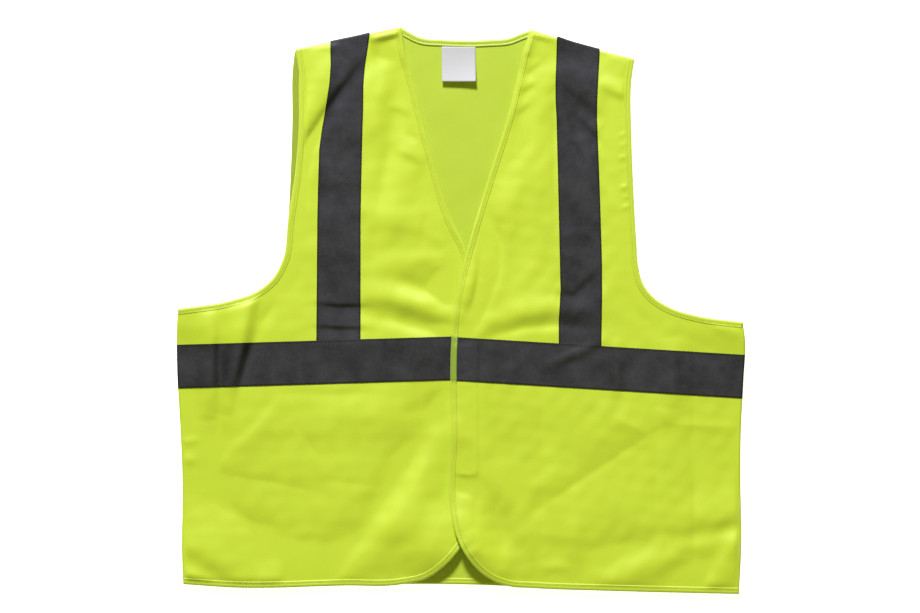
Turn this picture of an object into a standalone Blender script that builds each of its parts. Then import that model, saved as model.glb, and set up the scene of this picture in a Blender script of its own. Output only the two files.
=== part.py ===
"""A safety vest, laid flat on its back with the front up.

The vest rests on z = 0.  +Y points to its neck and +X to the wearer's left.
The two fronts lie on the back, and the wearer's left front laps over the right
one, where hook and loop strips hold them.  Each sheet of cloth is cut into
triangles along the lines where other pieces are sewn on it, raised to its
height, and thickened, so what lies on a sheet shares that sheet's points.
"""

import math

import bmesh
import bpy
import numpy as np
from mathutils import Vector
from mathutils.geometry import delaunay_2d_cdt

# Driving dimensions, in metres.
CLOTH = 0.0010            # wall of every piece of cloth
GAP = 0.0003              # clearance between pieces that touch
LAYER = CLOTH + GAP       # one more thickness of cloth in a stack
BINDING_WIDTH = 0.0075    # the folded strip that covers a cut edge, as finished
TAPE_WIDTH = 0.050        # the reflective tape
TAPE_END_GAP = 0.0010     # from a tape's end to the tape or strip it meets
AIR = 0.0030              # air under the middle of each front
PLAY = 0.0004             # extra room between the two halves of the fastener

BACK_HEIGHT = LAYER                     # underside of the back
SEAM_HEIGHT = BACK_HEIGHT + LAYER       # underside of a front at a seam

CENTRE_UNDER = 0.0180     # x of the right front's straight centre edge
CENTRE_OVER = -0.0117     # x of the left front's, which laps over it

# Edges as sewn.  Columns: x, y.
NECK = ((-0.0694, 0.3309), (-0.0597, 0.3250), (-0.0480, 0.3195), (-0.0222, 0.3168),
        (0.0340, 0.3166), (0.0560, 0.3186), (0.0700, 0.3240), (0.0808, 0.3278))
ARMHOLE_RIGHT_FRONT = ((-0.1935, 0.3050), (-0.1900, 0.2837), (-0.1895, 0.2229),
                       (-0.1936, 0.1632), (-0.2020, 0.1060), (-0.2083, 0.0591),
                       (-0.2176, 0.0404), (-0.2399, 0.0216), (-0.2668, 0.0123),
                       (-0.3305, 0.0020))
ARMHOLE_RIGHT_BACK = ((-0.1945, 0.3035), (-0.1968, 0.2826), (-0.1973, 0.2229),
                      (-0.1993, 0.1597), (-0.2024, 0.1060), (-0.2083, 0.0591),
                      (-0.2176, 0.0404), (-0.2399, 0.0216), (-0.2668, 0.0123),
                      (-0.3305, 0.0020))
ARMHOLE_LEFT = ((0.2026, 0.2935), (0.1996, 0.2750), (0.1991, 0.2000), (0.2012, 0.1433),
                (0.2048, 0.0800), (0.2074, 0.0497), (0.2129, 0.0310), (0.2245, 0.0160),
                (0.2457, 0.0029), (0.2773, -0.0064), (0.3292, -0.0135))
OPENING_RIGHT = ((-0.0694, 0.3309), (-0.0661, 0.3048), (-0.0573, 0.2733), (-0.0329, 0.1788),
                 (-0.0101, 0.1034), (0.0047, 0.0743), (0.0140, 0.0450), (CENTRE_UNDER, 0.0050),
                 (CENTRE_UNDER, -0.1200), (CENTRE_UNDER, -0.2300), (0.0118, -0.2580), (-0.0012, -0.2779),
                 (-0.0171, -0.2960), (-0.0400, -0.3125), (-0.0720, -0.3200),
                 (-0.1346, -0.3212), (-0.2656, -0.3235), (-0.3245, -0.3196))
OPENING_LEFT = ((0.0808, 0.3278), (0.0718, 0.2996), (0.0648, 0.2698), (0.0508, 0.2138),
                (0.0350, 0.1647), (0.0193, 0.1140), (0.0050, 0.0640), (-0.0070, 0.0123),
                (CENTRE_OVER, -0.0400), (CENTRE_OVER, -0.1400), (CENTRE_OVER, -0.2350),
                (-0.0070, -0.2580), (0.0094, -0.2907), (0.0222, -0.3048), (0.0386, -0.3159),
                (0.0560, -0.3218), (0.0850, -0.3242), (0.1650, -0.3272), (0.3244, -0.3312))
HEM_BACK = ((-0.3245, -0.3190), (-0.2656, -0.3228), (-0.1346, -0.3206), (0.0000, -0.3202),
            (0.0850, -0.3234), (0.1650, -0.3264), (0.3244, -0.3304))
SHOULDER_RIGHT = ((-0.1600, 0.3118), (-0.1100, 0.3224))
SHOULDER_LEFT = ((0.1150, 0.3172), (0.1600, 0.3048))
SIDE_RIGHT = ((-0.3317, -0.0160), (-0.3317, -0.0684), (-0.3276, -0.1450), (-0.3254, -0.2050),
              (-0.3260, -0.2800))
SIDE_LEFT = ((0.3317, -0.0345), (0.3299, -0.0825), (0.3270, -0.1400), (0.3264, -0.2000),
             (0.3274, -0.2650))

# Reflective tape.  Band: height of its upper edge at x = 0, and its slope.
BAND_RIGHT = (-0.0304, 0.0303)
BAND_LEFT = (-0.0318, -0.0616)
BAND_BACK = (-0.0462, -0.0176)
# Braces, from the shoulder down.  Columns: y, x at the outer edge, x at the inner edge.
BRACE_RIGHT = ((0.3300, -0.1521, -0.1090), (0.2860, -0.1512, -0.1135),
               (0.2500, -0.1540, -0.1147), (0.1920, -0.1638, -0.1170),
               (0.1340, -0.1664, -0.1182), (-0.0450, -0.1687, -0.1193))
BRACE_LEFT = ((0.3300, 0.1618, 0.1128), (0.2800, 0.1598, 0.1112), (0.2150, 0.1580, 0.1123),
              (0.1340, 0.1615, 0.1147), (0.0520, 0.1640, 0.1168), (-0.0500, 0.1626, 0.1147))

# Hook and loop strips.  Columns: x left, x right, y low, y high.
LOOP_STRIP = (-0.0085, 0.0095, -0.1920, -0.0400)
HOOK_STRIP = (-0.0030, 0.0180, -0.1920, -0.0400)

# Neck label: left edge, width, top, length and how far its loose end stands up.
LABEL_LEFT = -0.0227
LABEL_WIDTH = 0.0397
LABEL_TOP = 0.3080
LABEL_LENGTH = 0.0410
LABEL_RISE = 0.0045

# The largest folds.  Columns: x and y of one end, x and y of the other, half width, rise
# (a trough has a negative rise).
FOLDS_RIGHT = ((-0.1010, 0.0080, -0.0380, -0.0090, 0.012, -0.0020),
               (-0.0980, 0.0300, -0.0450, 0.0170, 0.015, 0.0020),
               (-0.0740, 0.0520, -0.0420, 0.0400, 0.013, -0.0016),
               (-0.1080, 0.2560, -0.1560, 0.1930, 0.016, -0.0018),
               (-0.0900, 0.2400, -0.0620, 0.1500, 0.018, 0.0014),
               (-0.2480, -0.1070, -0.2850, -0.1980, 0.016, -0.0016),
               (-0.2750, -0.2250, -0.2050, -0.2800, 0.017, -0.0018),
               (-0.0560, -0.1500, -0.1120, -0.2800, 0.022, 0.0026),
               (-0.0850, -0.1400, -0.1550, -0.2450, 0.020, -0.0014))
FOLDS_LEFT = ((0.0480, 0.1500, 0.0560, 0.0600, 0.013, -0.0022),
              (0.0860, 0.1300, 0.0900, 0.0300, 0.017, 0.0018),
              (0.0700, -0.0080, 0.1180, 0.0080, 0.013, -0.0018),
              (0.0900, -0.2300, 0.2180, -0.1500, 0.015, 0.0020),
              (0.1300, -0.2480, 0.2500, -0.1650, 0.018, -0.0016),
              (0.2180, -0.1480, 0.2950, -0.1350, 0.014, 0.0016),
              (0.1950, -0.2930, 0.2750, -0.2600, 0.016, -0.0018),
              (0.1000, -0.1300, 0.1080, -0.2000, 0.018, 0.0012))

# How finely edges and sheets are cut.
LONGEST_STEP = 0.027
SHORTEST_STEP = 0.009
SHARPEST_TURN = math.radians(11)
LATTICE = 0.0215
LATTICE_MARGIN = 0.0095

FABRIC = (0.52, 0.72, 0.03)
FABRIC_INSIDE = (0.46, 0.64, 0.05)
BINDING_COLOUR = (0.60, 0.80, 0.07)
TAPE_COLOUR = (0.045, 0.042, 0.042)
LABEL_COLOUR = (0.74, 0.73, 0.75)


def empty_the_scene():
    for thing in list(bpy.data.objects):
        bpy.data.objects.remove(thing, do_unlink=True)


def make_material(name, colour, roughness, metallic=0.0):
    material = bpy.data.materials.new(name)
    material.use_nodes = True
    shader = material.node_tree.nodes["Principled BSDF"]
    shader.inputs["Base Color"].default_value = (*colour, 1.0)
    shader.inputs["Roughness"].default_value = roughness
    shader.inputs["Metallic"].default_value = metallic
    return material


# ---------------------------------------------------------------- lines

def along(line):
    """Distance from the start of a line to each of its points."""
    return np.concatenate(([0.0], np.cumsum(np.linalg.norm(np.diff(line, axis=0), axis=1))))


def smooth_line(knots):
    """A smooth line through the knots, with steps that shorten where it turns."""
    knots = np.array(knots, dtype=float)
    at = along(knots)
    slope = np.gradient(knots, at, axis=0)
    fine_at = np.linspace(0.0, at[-1], 1200)
    piece = np.clip(np.searchsorted(at, fine_at, side="right") - 1, 0, len(knots) - 2)
    size = (at[piece + 1] - at[piece])[:, None]
    t = (fine_at - at[piece])[:, None] / size
    fine = ((1 + 2 * t) * (1 - t) ** 2 * knots[piece] + t * (1 - t) ** 2 * size * slope[piece]
            + t ** 2 * (3 - 2 * t) * knots[piece + 1]
            + t ** 2 * (t - 1) * size * slope[piece + 1])
    return thin_out(fine)


def thin_out(fine):
    """Keep a point where the line has turned enough or run far enough, and both ends."""
    way = np.unwrap(np.arctan2(*np.gradient(fine, axis=0).T[::-1]))
    at = along(fine)
    kept = [0]
    for index in range(1, len(fine) - 1):
        run = at[index] - at[kept[-1]]
        turn = abs(way[index] - way[kept[-1]])
        far = run >= LONGEST_STEP or (turn >= SHARPEST_TURN and run >= SHORTEST_STEP)
        if far and at[-1] - at[index] >= SHORTEST_STEP:
            kept.append(index)
    return fine[kept + [len(fine) - 1]]


def inset(line, distance, hand):
    """The line moved sideways: to its left for hand = 1, to its right for hand = -1."""
    way = np.gradient(line, axis=0)
    way /= np.linalg.norm(way, axis=1)[:, None]
    return line + distance * hand * np.column_stack((-way[:, 1], way[:, 0]))


def distance_to(points, line):
    """Distance from each point to the nearest place on a line."""
    start, step = line[:-1], np.diff(line, axis=0)
    reach = points[:, None, :] - start[None, :, :]
    t = np.clip((reach * step).sum(axis=2) / (step * step).sum(axis=1), 0.0, 1.0)
    return np.linalg.norm(reach - t[:, :, None] * step, axis=2).min(axis=1)


def inside(points, loop):
    """Whether each point is inside a closed loop, by counting crossings."""
    ends = np.roll(loop, -1, axis=0)
    x, y = points[:, :1], points[:, 1:]
    crosses = (loop[:, 1] > y) != (ends[:, 1] > y)
    rise = np.where(ends[:, 1] == loop[:, 1], 1.0, ends[:, 1] - loop[:, 1])
    where = loop[:, 0] + (y - loop[:, 1]) / rise * (ends[:, 0] - loop[:, 0])
    return (crosses & (x < where)).sum(axis=1) % 2 == 1


def ease(distance, near, far):
    """1 up to the near distance, 0 past the far one, and smooth between."""
    t = np.clip((far - distance) / (far - near), 0.0, 1.0)
    return t * t * (3.0 - 2.0 * t)


# ---------------------------------------------------------------- the pattern

class Edge:
    """A bound edge: its finished line, the cloth's cut edge, and the strip's inner line."""

    def __init__(self, knots, hand):
        self.line = smooth_line(knots)
        self.hand = hand
        self.wall = inset(self.line, CLOTH, hand)
        self.cut = inset(self.line, LAYER, hand)
        self.inner = inset(self.line, BINDING_WIDTH, hand)

    def strip(self):
        """The edge's own loop end to end: in from the sheet, along the cut, and back in."""
        return np.vstack((self.inner[:1], self.cut, self.inner[-1:]))

    def creases(self):
        """Lines that fix the triangles under the strip: its inner line and its diagonals."""
        diagonals = [np.array((self.cut[k], self.inner[k + 1])) for k in range(len(self.cut) - 1)]
        return [self.inner] + diagonals


def band_edge(band, x):
    """Height of a band's upper edge at x."""
    return band[0] + band[1] * np.asarray(x)


def brace_edges(brace, y):
    """x of a brace's outer and inner edges at the height y."""
    table = np.array(sorted(brace))
    return np.interp(y, table[:, 0], table[:, 1]), np.interp(y, table[:, 0], table[:, 2])


def band_lines(band, start, end):
    """The upper and lower edge of a band and its end at the opening, as lines."""
    x = np.array((start, end))
    upper = np.column_stack((x, band_edge(band, x)))
    lower = upper - (0.0, TAPE_WIDTH)
    return [upper, lower, np.vstack((upper[-1:], lower[-1:]))]


def brace_lines(brace, band):
    """The two long edges of a brace and its end at the band, as lines."""
    rows = np.linspace(0.3300, -0.0150, 16)
    outer, inner = brace_edges(brace, rows)
    foot = [np.array((x, band_edge(band, x) + TAPE_END_GAP)) for x in (outer[-1], inner[-1])]
    return [np.vstack((np.column_stack((outer, rows)), foot[:1])),
            np.vstack((np.column_stack((inner, rows)), foot[1:])),
            np.array(foot)]


def on_band(points, band, start, end):
    low, high = min(start, end), max(start, end)
    depth = band_edge(band, points[:, 0]) - points[:, 1]
    return (depth > 0) & (depth < TAPE_WIDTH) & (points[:, 0] > low) & (points[:, 0] < high)


def on_brace(points, brace, band):
    outer, inner = brace_edges(brace, points[:, 1])
    between = (points[:, 0] - outer) * (points[:, 0] - inner) < 0
    return between & (points[:, 1] > band_edge(band, points[:, 0]) + TAPE_END_GAP)


def folds_at(points, folds):
    """Sum of the folds: each is a soft ridge or trough that fades at its two ends."""
    rise = np.zeros(len(points))
    for x0, y0, x1, y1, width, height in folds:
        start, step = np.array((x0, y0)), np.array((x1 - x0, y1 - y0))
        t = np.clip(((points - start) @ step) / (step @ step), 0.0, 1.0)
        off = np.linalg.norm(points - start - t[:, None] * step, axis=1)
        rise += height * np.exp(-(off / width) ** 2)
    return rise


class Front:
    """One front: its edges, its outline, and the height of its underside."""

    def __init__(self, opening, armhole, side, shoulder, folds):
        self.opening, self.armhole, self.folds = opening, armhole, folds
        self.side, self.shoulder = np.array(side), np.array(shoulder)
        self.loop = np.vstack((opening.strip(), self.side[::-1], armhole.strip()[::-1],
                               self.shoulder))

    def height(self, points, back):
        """Seam height, raised over the bindings below, and by air and folds in the middle."""
        closure = ease(points[:, 1], 0.030, 0.120)
        flat = 0.010 + 0.026 * closure
        at_opening = ease(distance_to(points, self.opening.line) - flat, 0.0, 0.028)
        at_hem = ease(distance_to(points, back.hem.line), 0.011, 0.040)
        at_armhole = ease(distance_to(points, self.armhole.line), 0.016, 0.045)
        at_neck = ease(distance_to(points, back.neck.line), 0.030, 0.055)
        at_seam = np.maximum(ease(distance_to(points, self.side), 0.004, 0.050),
                             ease(distance_to(points, self.shoulder), 0.004, 0.050))
        need = np.max((LAYER * at_opening, 2 * LAYER * at_hem, 2 * LAYER * at_armhole,
                       2 * LAYER * at_neck), axis=0)
        free = (1 - at_opening) * (1 - at_hem) * (1 - at_armhole) * (1 - at_neck) * (1 - at_seam)
        return SEAM_HEIGHT + need + free * (AIR + folds_at(points, self.folds))


class Back:
    """The back: its edges and outline.  It lies flat."""

    def __init__(self, neck, armhole_right, armhole_left, hem):
        self.neck, self.hem = neck, hem
        self.armhole_right, self.armhole_left = armhole_right, armhole_left
        self.loop = np.vstack((neck.strip(), SHOULDER_LEFT, armhole_left.strip(), SIDE_LEFT,
                               hem.strip()[::-1], SIDE_RIGHT[::-1],
                               armhole_right.strip()[::-1], SHOULDER_RIGHT))


# ---------------------------------------------------------------- sheets and solids

def triangles(loop, lines, spots):
    """Cut the area in a loop into triangles that keep the given lines and spots as points."""
    points, edges = [], []
    for line, closed in [(loop, True)] + [(line, False) for line in lines]:
        first = len(points)
        points.extend(line)
        edges.extend((first + k, first + k + 1) for k in range(len(line) - 1))
        if closed:
            edges.append((first + len(line) - 1, first))
    points.extend(spots)
    found = delaunay_2d_cdt([Vector(point) for point in points], edges, [], 1, 1e-6)
    return np.array([tuple(point) for point in found[0]]), np.array(found[2])


def lattice(loop, lines):
    """Points on a square grid inside a loop, clear of it and of the lines."""
    low, high = loop.min(axis=0), loop.max(axis=0)
    x, y = np.meshgrid(np.arange(low[0], high[0], LATTICE), np.arange(low[1], high[1], LATTICE))
    spots = np.column_stack((x.ravel(), y.ravel()))
    closed = np.vstack((loop, loop[:1]))
    clear = np.min([distance_to(spots, line) for line in [closed] + lines], axis=0)
    return spots[inside(spots, loop) & (clear > LATTICE_MARGIN)]


def add_object(name, points, faces, material, collection):
    mesh = bpy.data.meshes.new(name)
    mesh.from_pydata([tuple(p) for p in points], [], [tuple(int(i) for i in f) for f in faces])
    mesh.materials.append(material)
    thing = bpy.data.objects.new(name, mesh)
    collection.objects.link(thing)
    return thing


def add_sheet(name, flat, faces, heights, material, collection):
    """A sheet of cloth: an open surface, extruded straight up by the cloth's thickness."""
    used = np.unique(faces)
    renumber = np.zeros(len(flat), dtype=int)
    renumber[used] = np.arange(len(used))
    points = np.column_stack((flat[used], heights[used]))
    thing = add_object(name, points, renumber[faces], material, collection)
    work = bmesh.new()
    work.from_mesh(thing.data)
    grown = bmesh.ops.extrude_face_region(work, geom=work.faces[:])
    top = [part for part in grown["geom"] if isinstance(part, bmesh.types.BMVert)]
    bmesh.ops.translate(work, verts=top, vec=(0.0, 0.0, CLOTH))
    bmesh.ops.recalc_face_normals(work, faces=work.faces[:])
    work.to_mesh(thing.data)
    work.free()
    return thing


def add_shell(name, points, faces, material, collection):
    """An open surface with a wall that grows on the side its faces point to."""
    thing = add_object(name, points, faces, material, collection)
    wall = thing.modifiers.new("Cloth", "SOLIDIFY")
    wall.thickness = CLOTH
    wall.offset = 1.0
    wall.use_even_offset = True
    return thing


def add_binding(name, edge, cut_heights, inner_heights, material, collection):
    """A strip folded round an edge, lofted: its section has an under leg, a wall and a top leg.

    The section's first four points face the cloth and its last four face out.
    """
    near, far = GAP, LAYER
    rows = ((edge.inner, inner_heights - near), (edge.wall, cut_heights - near),
            (edge.wall, cut_heights + CLOTH + near), (edge.inner, inner_heights + CLOTH + near),
            (edge.inner, inner_heights + CLOTH + far), (edge.line, cut_heights + CLOTH + far),
            (edge.line, cut_heights - far), (edge.inner, inner_heights - far))
    points = np.vstack([np.column_stack(row) for row in rows])
    count = len(edge.line)
    faces = []
    for row in range(len(rows)):
        after = (row + 1) % len(rows)
        for k in range(count - 1):
            a, b = row * count + k, row * count + k + 1
            c, d = after * count + k, after * count + k + 1
            if rows[row][0] is edge.inner:
                faces += [(a, c, b), (b, c, d)]
            else:
                faces += [(a, c, d), (a, d, b)]
    for end in (0, count - 1):
        for row in range(3):
            ring = (row, row + 1, len(rows) - 2 - row, len(rows) - 1 - row)
            faces.append(tuple(r * count + end for r in ring))
    thing = add_object(name, points, faces, material, collection)
    face_outwards(thing)
    return thing


def face_outwards(thing):
    work = bmesh.new()
    work.from_mesh(thing.data)
    bmesh.ops.recalc_face_normals(work, faces=work.faces[:])
    work.to_mesh(thing.data)
    work.free()


def add_block(name, x, y, z, material, collection):
    """A flat strip of cloth between two values of x, y and z."""
    bpy.ops.mesh.primitive_cube_add(size=1.0)
    thing = bpy.context.active_object
    thing.name = thing.data.name = name
    thing.scale = (x[1] - x[0], y[1] - y[0], z[1] - z[0])
    thing.location = (sum(x) / 2, sum(y) / 2, sum(z) / 2)
    thing.data.materials.append(material)
    for holder in list(thing.users_collection):
        holder.objects.unlink(thing)
    collection.objects.link(thing)
    return thing


def add_brace(name, sheet, shoulder, brace, band, back_band, material, collection):
    """A brace: on the front's own points, round the shoulder, and down the back to its band."""
    flat, faces, heights = sheet
    centres = flat[faces].mean(axis=1)
    faces = faces[on_brace(centres, brace, band)]
    used = np.unique(faces)
    renumber = np.zeros(len(flat), dtype=int)
    renumber[used] = np.arange(len(used))
    points = [(*flat[k], heights[k] + LAYER) for k in used]
    faces = [tuple(face) for face in renumber[faces]]

    at_shoulder = [k for k in used if distance_to(flat[k:k + 1], shoulder)[0] < 1e-5]
    at_shoulder.sort(key=lambda k: flat[k, 0])
    row = [int(renumber[k]) for k in at_shoulder]
    way = flat[at_shoulder[-1]] - flat[at_shoulder[0]]
    out = np.array((-way[1], way[0])) / np.linalg.norm(way)
    top, low = points[row[0]][2], BACK_HEIGHT - GAP
    middle, radius = (top + low) / 2, (top - low) / 2
    rows = []
    for angle in np.radians((45.0, 90.0, 135.0, 180.0)):
        shift, height = math.sin(angle) * radius * out, middle + math.cos(angle) * radius
        rows.append([(*(flat[k] + shift), height) for k in at_shoulder])
    across = (flat[at_shoulder, 0] - flat[at_shoulder[0], 0]) / way[0]
    ends = sorted(float(x) for x in brace_edges(brace, band_edge(back_band, brace[-1][1])))
    x = ends[0] + across * (ends[1] - ends[0])
    y = band_edge(back_band, x) + TAPE_END_GAP
    rows.append([(x[k], y[k], low) for k in range(len(x))])
    for new_row in rows:
        first = len(points)
        points += new_row
        new = list(range(first, first + len(row)))
        for k in range(len(row) - 1):
            faces.append((row[k], row[k + 1], new[k + 1], new[k]))
        row = new
    return add_shell(name, points, faces, material, collection)


# ---------------------------------------------------------------- the vest

def make_vest():
    empty_the_scene()
    vest = bpy.data.collections.new("safety_vest")
    bpy.context.scene.collection.children.link(vest)
    fabric = make_material("polyester_outside", FABRIC, 0.75)
    inside_face = make_material("polyester_inside", FABRIC_INSIDE, 0.80)
    strip = make_material("polyester_binding", BINDING_COLOUR, 0.65)
    tape = make_material("reflective_tape", TAPE_COLOUR, 0.45)
    nap = make_material("hook_and_loop", FABRIC, 0.90)
    paper = make_material("label_ribbon", LABEL_COLOUR, 0.60)

    neck = Edge(NECK, -1)
    back = Back(neck, Edge(ARMHOLE_RIGHT_BACK, 1), Edge(ARMHOLE_LEFT, -1), Edge(HEM_BACK, 1))
    under = Front(Edge(OPENING_RIGHT, -1), Edge(ARMHOLE_RIGHT_FRONT, 1), SIDE_RIGHT,
                  SHOULDER_RIGHT, FOLDS_RIGHT)
    over = Front(Edge(OPENING_LEFT, 1), Edge(ARMHOLE_LEFT, -1), SIDE_LEFT,
                 SHOULDER_LEFT[::-1], FOLDS_LEFT)

    def under_height(points):
        return under.height(points, back)

    def over_height(points):
        """The upper front clears the under one, its binding or loop strip, and the hook."""
        outside = np.where(inside(points, under.loop), 0.0,
                           distance_to(points, under.opening.line))
        lapped = ease(outside, 0.004, 0.045)
        stack = under_height(points) + 3 * LAYER + PLAY
        return (1 - lapped) * over.height(points, back) + lapped * stack

    # The back, with its band and bindings.
    side_x = (-0.3340, 0.3340)
    upper, lower, _ = band_lines(BAND_BACK, *side_x)
    lines = [upper, lower]
    for edge in (back.neck, back.armhole_right, back.armhole_left, back.hem):
        lines += edge.creases()
    flat, faces = triangles(back.loop, lines, [])
    heights = np.full(len(flat), BACK_HEIGHT)
    add_sheet("back_panel", flat, faces, heights, inside_face, vest)
    chosen = faces[on_band(flat[faces].mean(axis=1), BAND_BACK, *side_x)]
    add_sheet("tape_band_back", flat, chosen, heights - LAYER, tape, vest)
    for name, edge in (("binding_neck_back", back.neck), ("binding_hem_back", back.hem),
                       ("binding_armhole_right_back", back.armhole_right),
                       ("binding_armhole_left_back", back.armhole_left)):
        level = np.full(len(edge.line), BACK_HEIGHT)
        add_binding(name, edge, level, level, strip, vest)

    # The fronts, each with its tapes and bindings.
    under_end = LOOP_STRIP[0] - TAPE_END_GAP
    over_end = CENTRE_OVER + BINDING_WIDTH + TAPE_END_GAP
    over_ramp = inset(under.opening.line, 0.004, 1)
    over_ramp = over_ramp[inside(over_ramp, over.loop)
                          & (distance_to(over_ramp, over.opening.line) > 0.012)]
    table = (("right", under, under_height, BRACE_RIGHT, BAND_RIGHT, side_x[0], under_end, []),
             ("left", over, over_height, BRACE_LEFT, BAND_LEFT, side_x[1], over_end,
              [over_ramp]))
    for side, front, height, brace, band, side_end, band_end, ramps in table:
        lines = band_lines(band, side_end, band_end) + brace_lines(brace, band) + ramps
        lines += front.opening.creases() + front.armhole.creases()
        flat, faces = triangles(front.loop, lines, lattice(front.loop, lines))
        heights = height(flat)
        add_sheet(f"front_{side}_panel", flat, faces, heights, fabric, vest)
        chosen = faces[on_band(flat[faces].mean(axis=1), band, side_end, band_end)]
        add_sheet(f"tape_band_front_{side}", flat, chosen, heights + LAYER, tape, vest)
        shoulder = np.vstack((front.loop, front.loop[:1]))
        add_brace(f"tape_brace_{side}", (flat, faces, heights), shoulder, brace, band,
                  BAND_BACK, tape, vest)
        for place, edge in (("front", front.opening), ("armhole", front.armhole)):
            name = {"front": f"binding_front_{side}",
                    "armhole": f"binding_armhole_{side}_front"}[place]
            add_binding(name, edge, height(edge.cut), height(edge.inner), strip, vest)

    # Between the fronts: the fastener.  Inside the neck: the label.
    level = float(under_height(np.array((LOOP_STRIP[:1] + LOOP_STRIP[2:3],)))[0])
    loop_low = level + LAYER
    hook_low = level + 2 * LAYER + PLAY
    for name, strip_size, low in (("loop_strip", LOOP_STRIP, loop_low),
                                  ("hook_strip", HOOK_STRIP, hook_low)):
        add_block(name, strip_size[:2], strip_size[2:], (low, low + CLOTH), nap, vest)
    add_label(paper, vest)


def add_label(material, collection):
    """The label lies flat where it is sewn on and stands up a little at its loose end."""
    share = np.linspace(0.0, 1.0, 7)
    y = LABEL_TOP - share * LABEL_LENGTH
    z = SEAM_HEIGHT + LABEL_RISE * share ** 2
    points, faces = [], []
    for x in (LABEL_LEFT, LABEL_LEFT + LABEL_WIDTH):
        points += [(x, y[k], z[k]) for k in range(len(share))]
    for k in range(len(share) - 1):
        faces.append((k, k + 1, len(share) + k + 1, len(share) + k))
    add_shell("neck_label", points, faces, material, collection)


make_vest()
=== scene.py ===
# %% [markdown]
# # A safety vest, laid flat
# The real thing is two fronts and a back of thin fluorescent polyester knit, bound along every
# cut edge with a folded strip, with 50 mm reflective tape sewn on.  Nearly everything here is a
# height field: first a flat pattern in x and y, then one function that says how high the cloth
# lies.  Only the strips' folds and the tapes' turns over the shoulders are shaped otherwise.
# The solids in the frame give the layers' heights, and each is replaced by a fine sheet on the
# same edges.  A cloth simulation was not used: it gives folds, but not these folds.

# %% Load the frame
import math

import bmesh
import bpy
import numpy as np
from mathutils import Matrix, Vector


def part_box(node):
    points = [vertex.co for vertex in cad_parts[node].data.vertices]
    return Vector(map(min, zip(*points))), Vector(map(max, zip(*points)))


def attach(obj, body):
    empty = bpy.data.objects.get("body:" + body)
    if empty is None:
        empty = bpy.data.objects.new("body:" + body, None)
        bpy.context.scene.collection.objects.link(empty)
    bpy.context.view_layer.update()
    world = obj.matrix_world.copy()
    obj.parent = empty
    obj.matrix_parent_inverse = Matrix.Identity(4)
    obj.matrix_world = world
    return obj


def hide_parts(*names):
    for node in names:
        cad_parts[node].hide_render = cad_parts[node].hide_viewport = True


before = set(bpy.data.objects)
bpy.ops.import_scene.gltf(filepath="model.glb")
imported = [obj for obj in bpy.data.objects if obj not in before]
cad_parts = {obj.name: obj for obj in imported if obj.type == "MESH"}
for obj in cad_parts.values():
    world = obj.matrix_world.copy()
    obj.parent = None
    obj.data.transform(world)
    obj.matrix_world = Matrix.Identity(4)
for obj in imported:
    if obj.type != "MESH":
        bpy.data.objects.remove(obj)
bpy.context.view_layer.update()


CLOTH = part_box("hook_strip")[1][2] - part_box("hook_strip")[0][2]    # wall of the CAD cloth
GAP = 0.0003
LAYER = CLOTH + GAP
BACK_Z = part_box("back_panel")[0][2]
SEAM_Z = BACK_Z + LAYER

# %% [markdown]
# ## Camera, floor and light
# The vest was laid on a white surface and seen from straight above, so the camera hangs over it
# and looks down.  A long lens keeps the raised folds from leaning outwards.  The key light is a
# panel a metre wide, far beyond the neck: the cloth is nearly flat, and only light from the side
# shows its folds.  The fill and the sky are yellow.  They stand for the light that the dyed cloth
# sends back and forth in its own folds, which keeps the shadows on it from turning grey.

# %% Camera
VIEW_WIDTH = 1.0764       # what the picture spans at the surface, in metres
VIEW_CENTRE = (-0.0012, 0.0047)
CAMERA_HEIGHT = 3.2
SENSOR = 36.0

camera_data = bpy.data.cameras.new("camera")
camera_data.sensor_width = SENSOR
camera_data.lens = SENSOR * CAMERA_HEIGHT / VIEW_WIDTH
camera_data.clip_end = 50.0
camera = bpy.data.objects.new("camera", camera_data)
camera.location = (*VIEW_CENTRE, CAMERA_HEIGHT)
bpy.context.scene.collection.objects.link(camera)
bpy.context.scene.camera = camera
print("lens", round(camera_data.lens, 1), "mm")

# %% Colour
def srgb(code):
    """A hex colour such as c8dc42, turned to the linear values that shaders use."""
    channels = np.array([int(code[k:k + 2], 16) for k in (0, 2, 4)]) / 255.0
    linear = np.where(channels <= 0.04045, channels / 12.92, ((channels + 0.055) / 1.055) ** 2.4)
    return (*[float(c) for c in linear], 1.0)


# %% Floor and light
FLOOR_SIZE = 9.0
FLOOR_Z = -0.0004
FLOOR_GLOW = 0.90         # the table is lit from inside, which keeps the ground white
KEY_PLACE = (-0.85, 5.2, 3.4)      # beyond the neck, a third of the way up the sky
KEY_SIZE = 1.1
KEY_WATTS = 580.0
FILL_PLACE = (0.4, -1.2, 2.6)
FILL_SIZE = 3.0
FILL_WATTS = 8.5
SKY_STRENGTH = 0.155


def flat_floor(size, z):
    """The surface under the vest: one square, a hair below the lowest cloth."""
    mesh = bpy.data.meshes.new("floor")
    half = size / 2
    corners = [(-half, -half, z), (half, -half, z), (half, half, z), (-half, half, z)]
    mesh.from_pydata(corners, [], [(0, 1, 2, 3)])
    paper = bpy.data.materials.new("white light table")
    paper.use_nodes = True
    shader = paper.node_tree.nodes["Principled BSDF"]
    shader.inputs["Base Color"].default_value = srgb("f2f2f2")
    shader.inputs["Roughness"].default_value = 0.9
    shader.inputs["Specular IOR Level"].default_value = 0.1
    shader.inputs["Emission Color"].default_value = srgb("ffffff")
    shader.inputs["Emission Strength"].default_value = FLOOR_GLOW
    mesh.materials.append(paper)
    thing = bpy.data.objects.new("floor", mesh)
    bpy.context.scene.collection.objects.link(thing)


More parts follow.
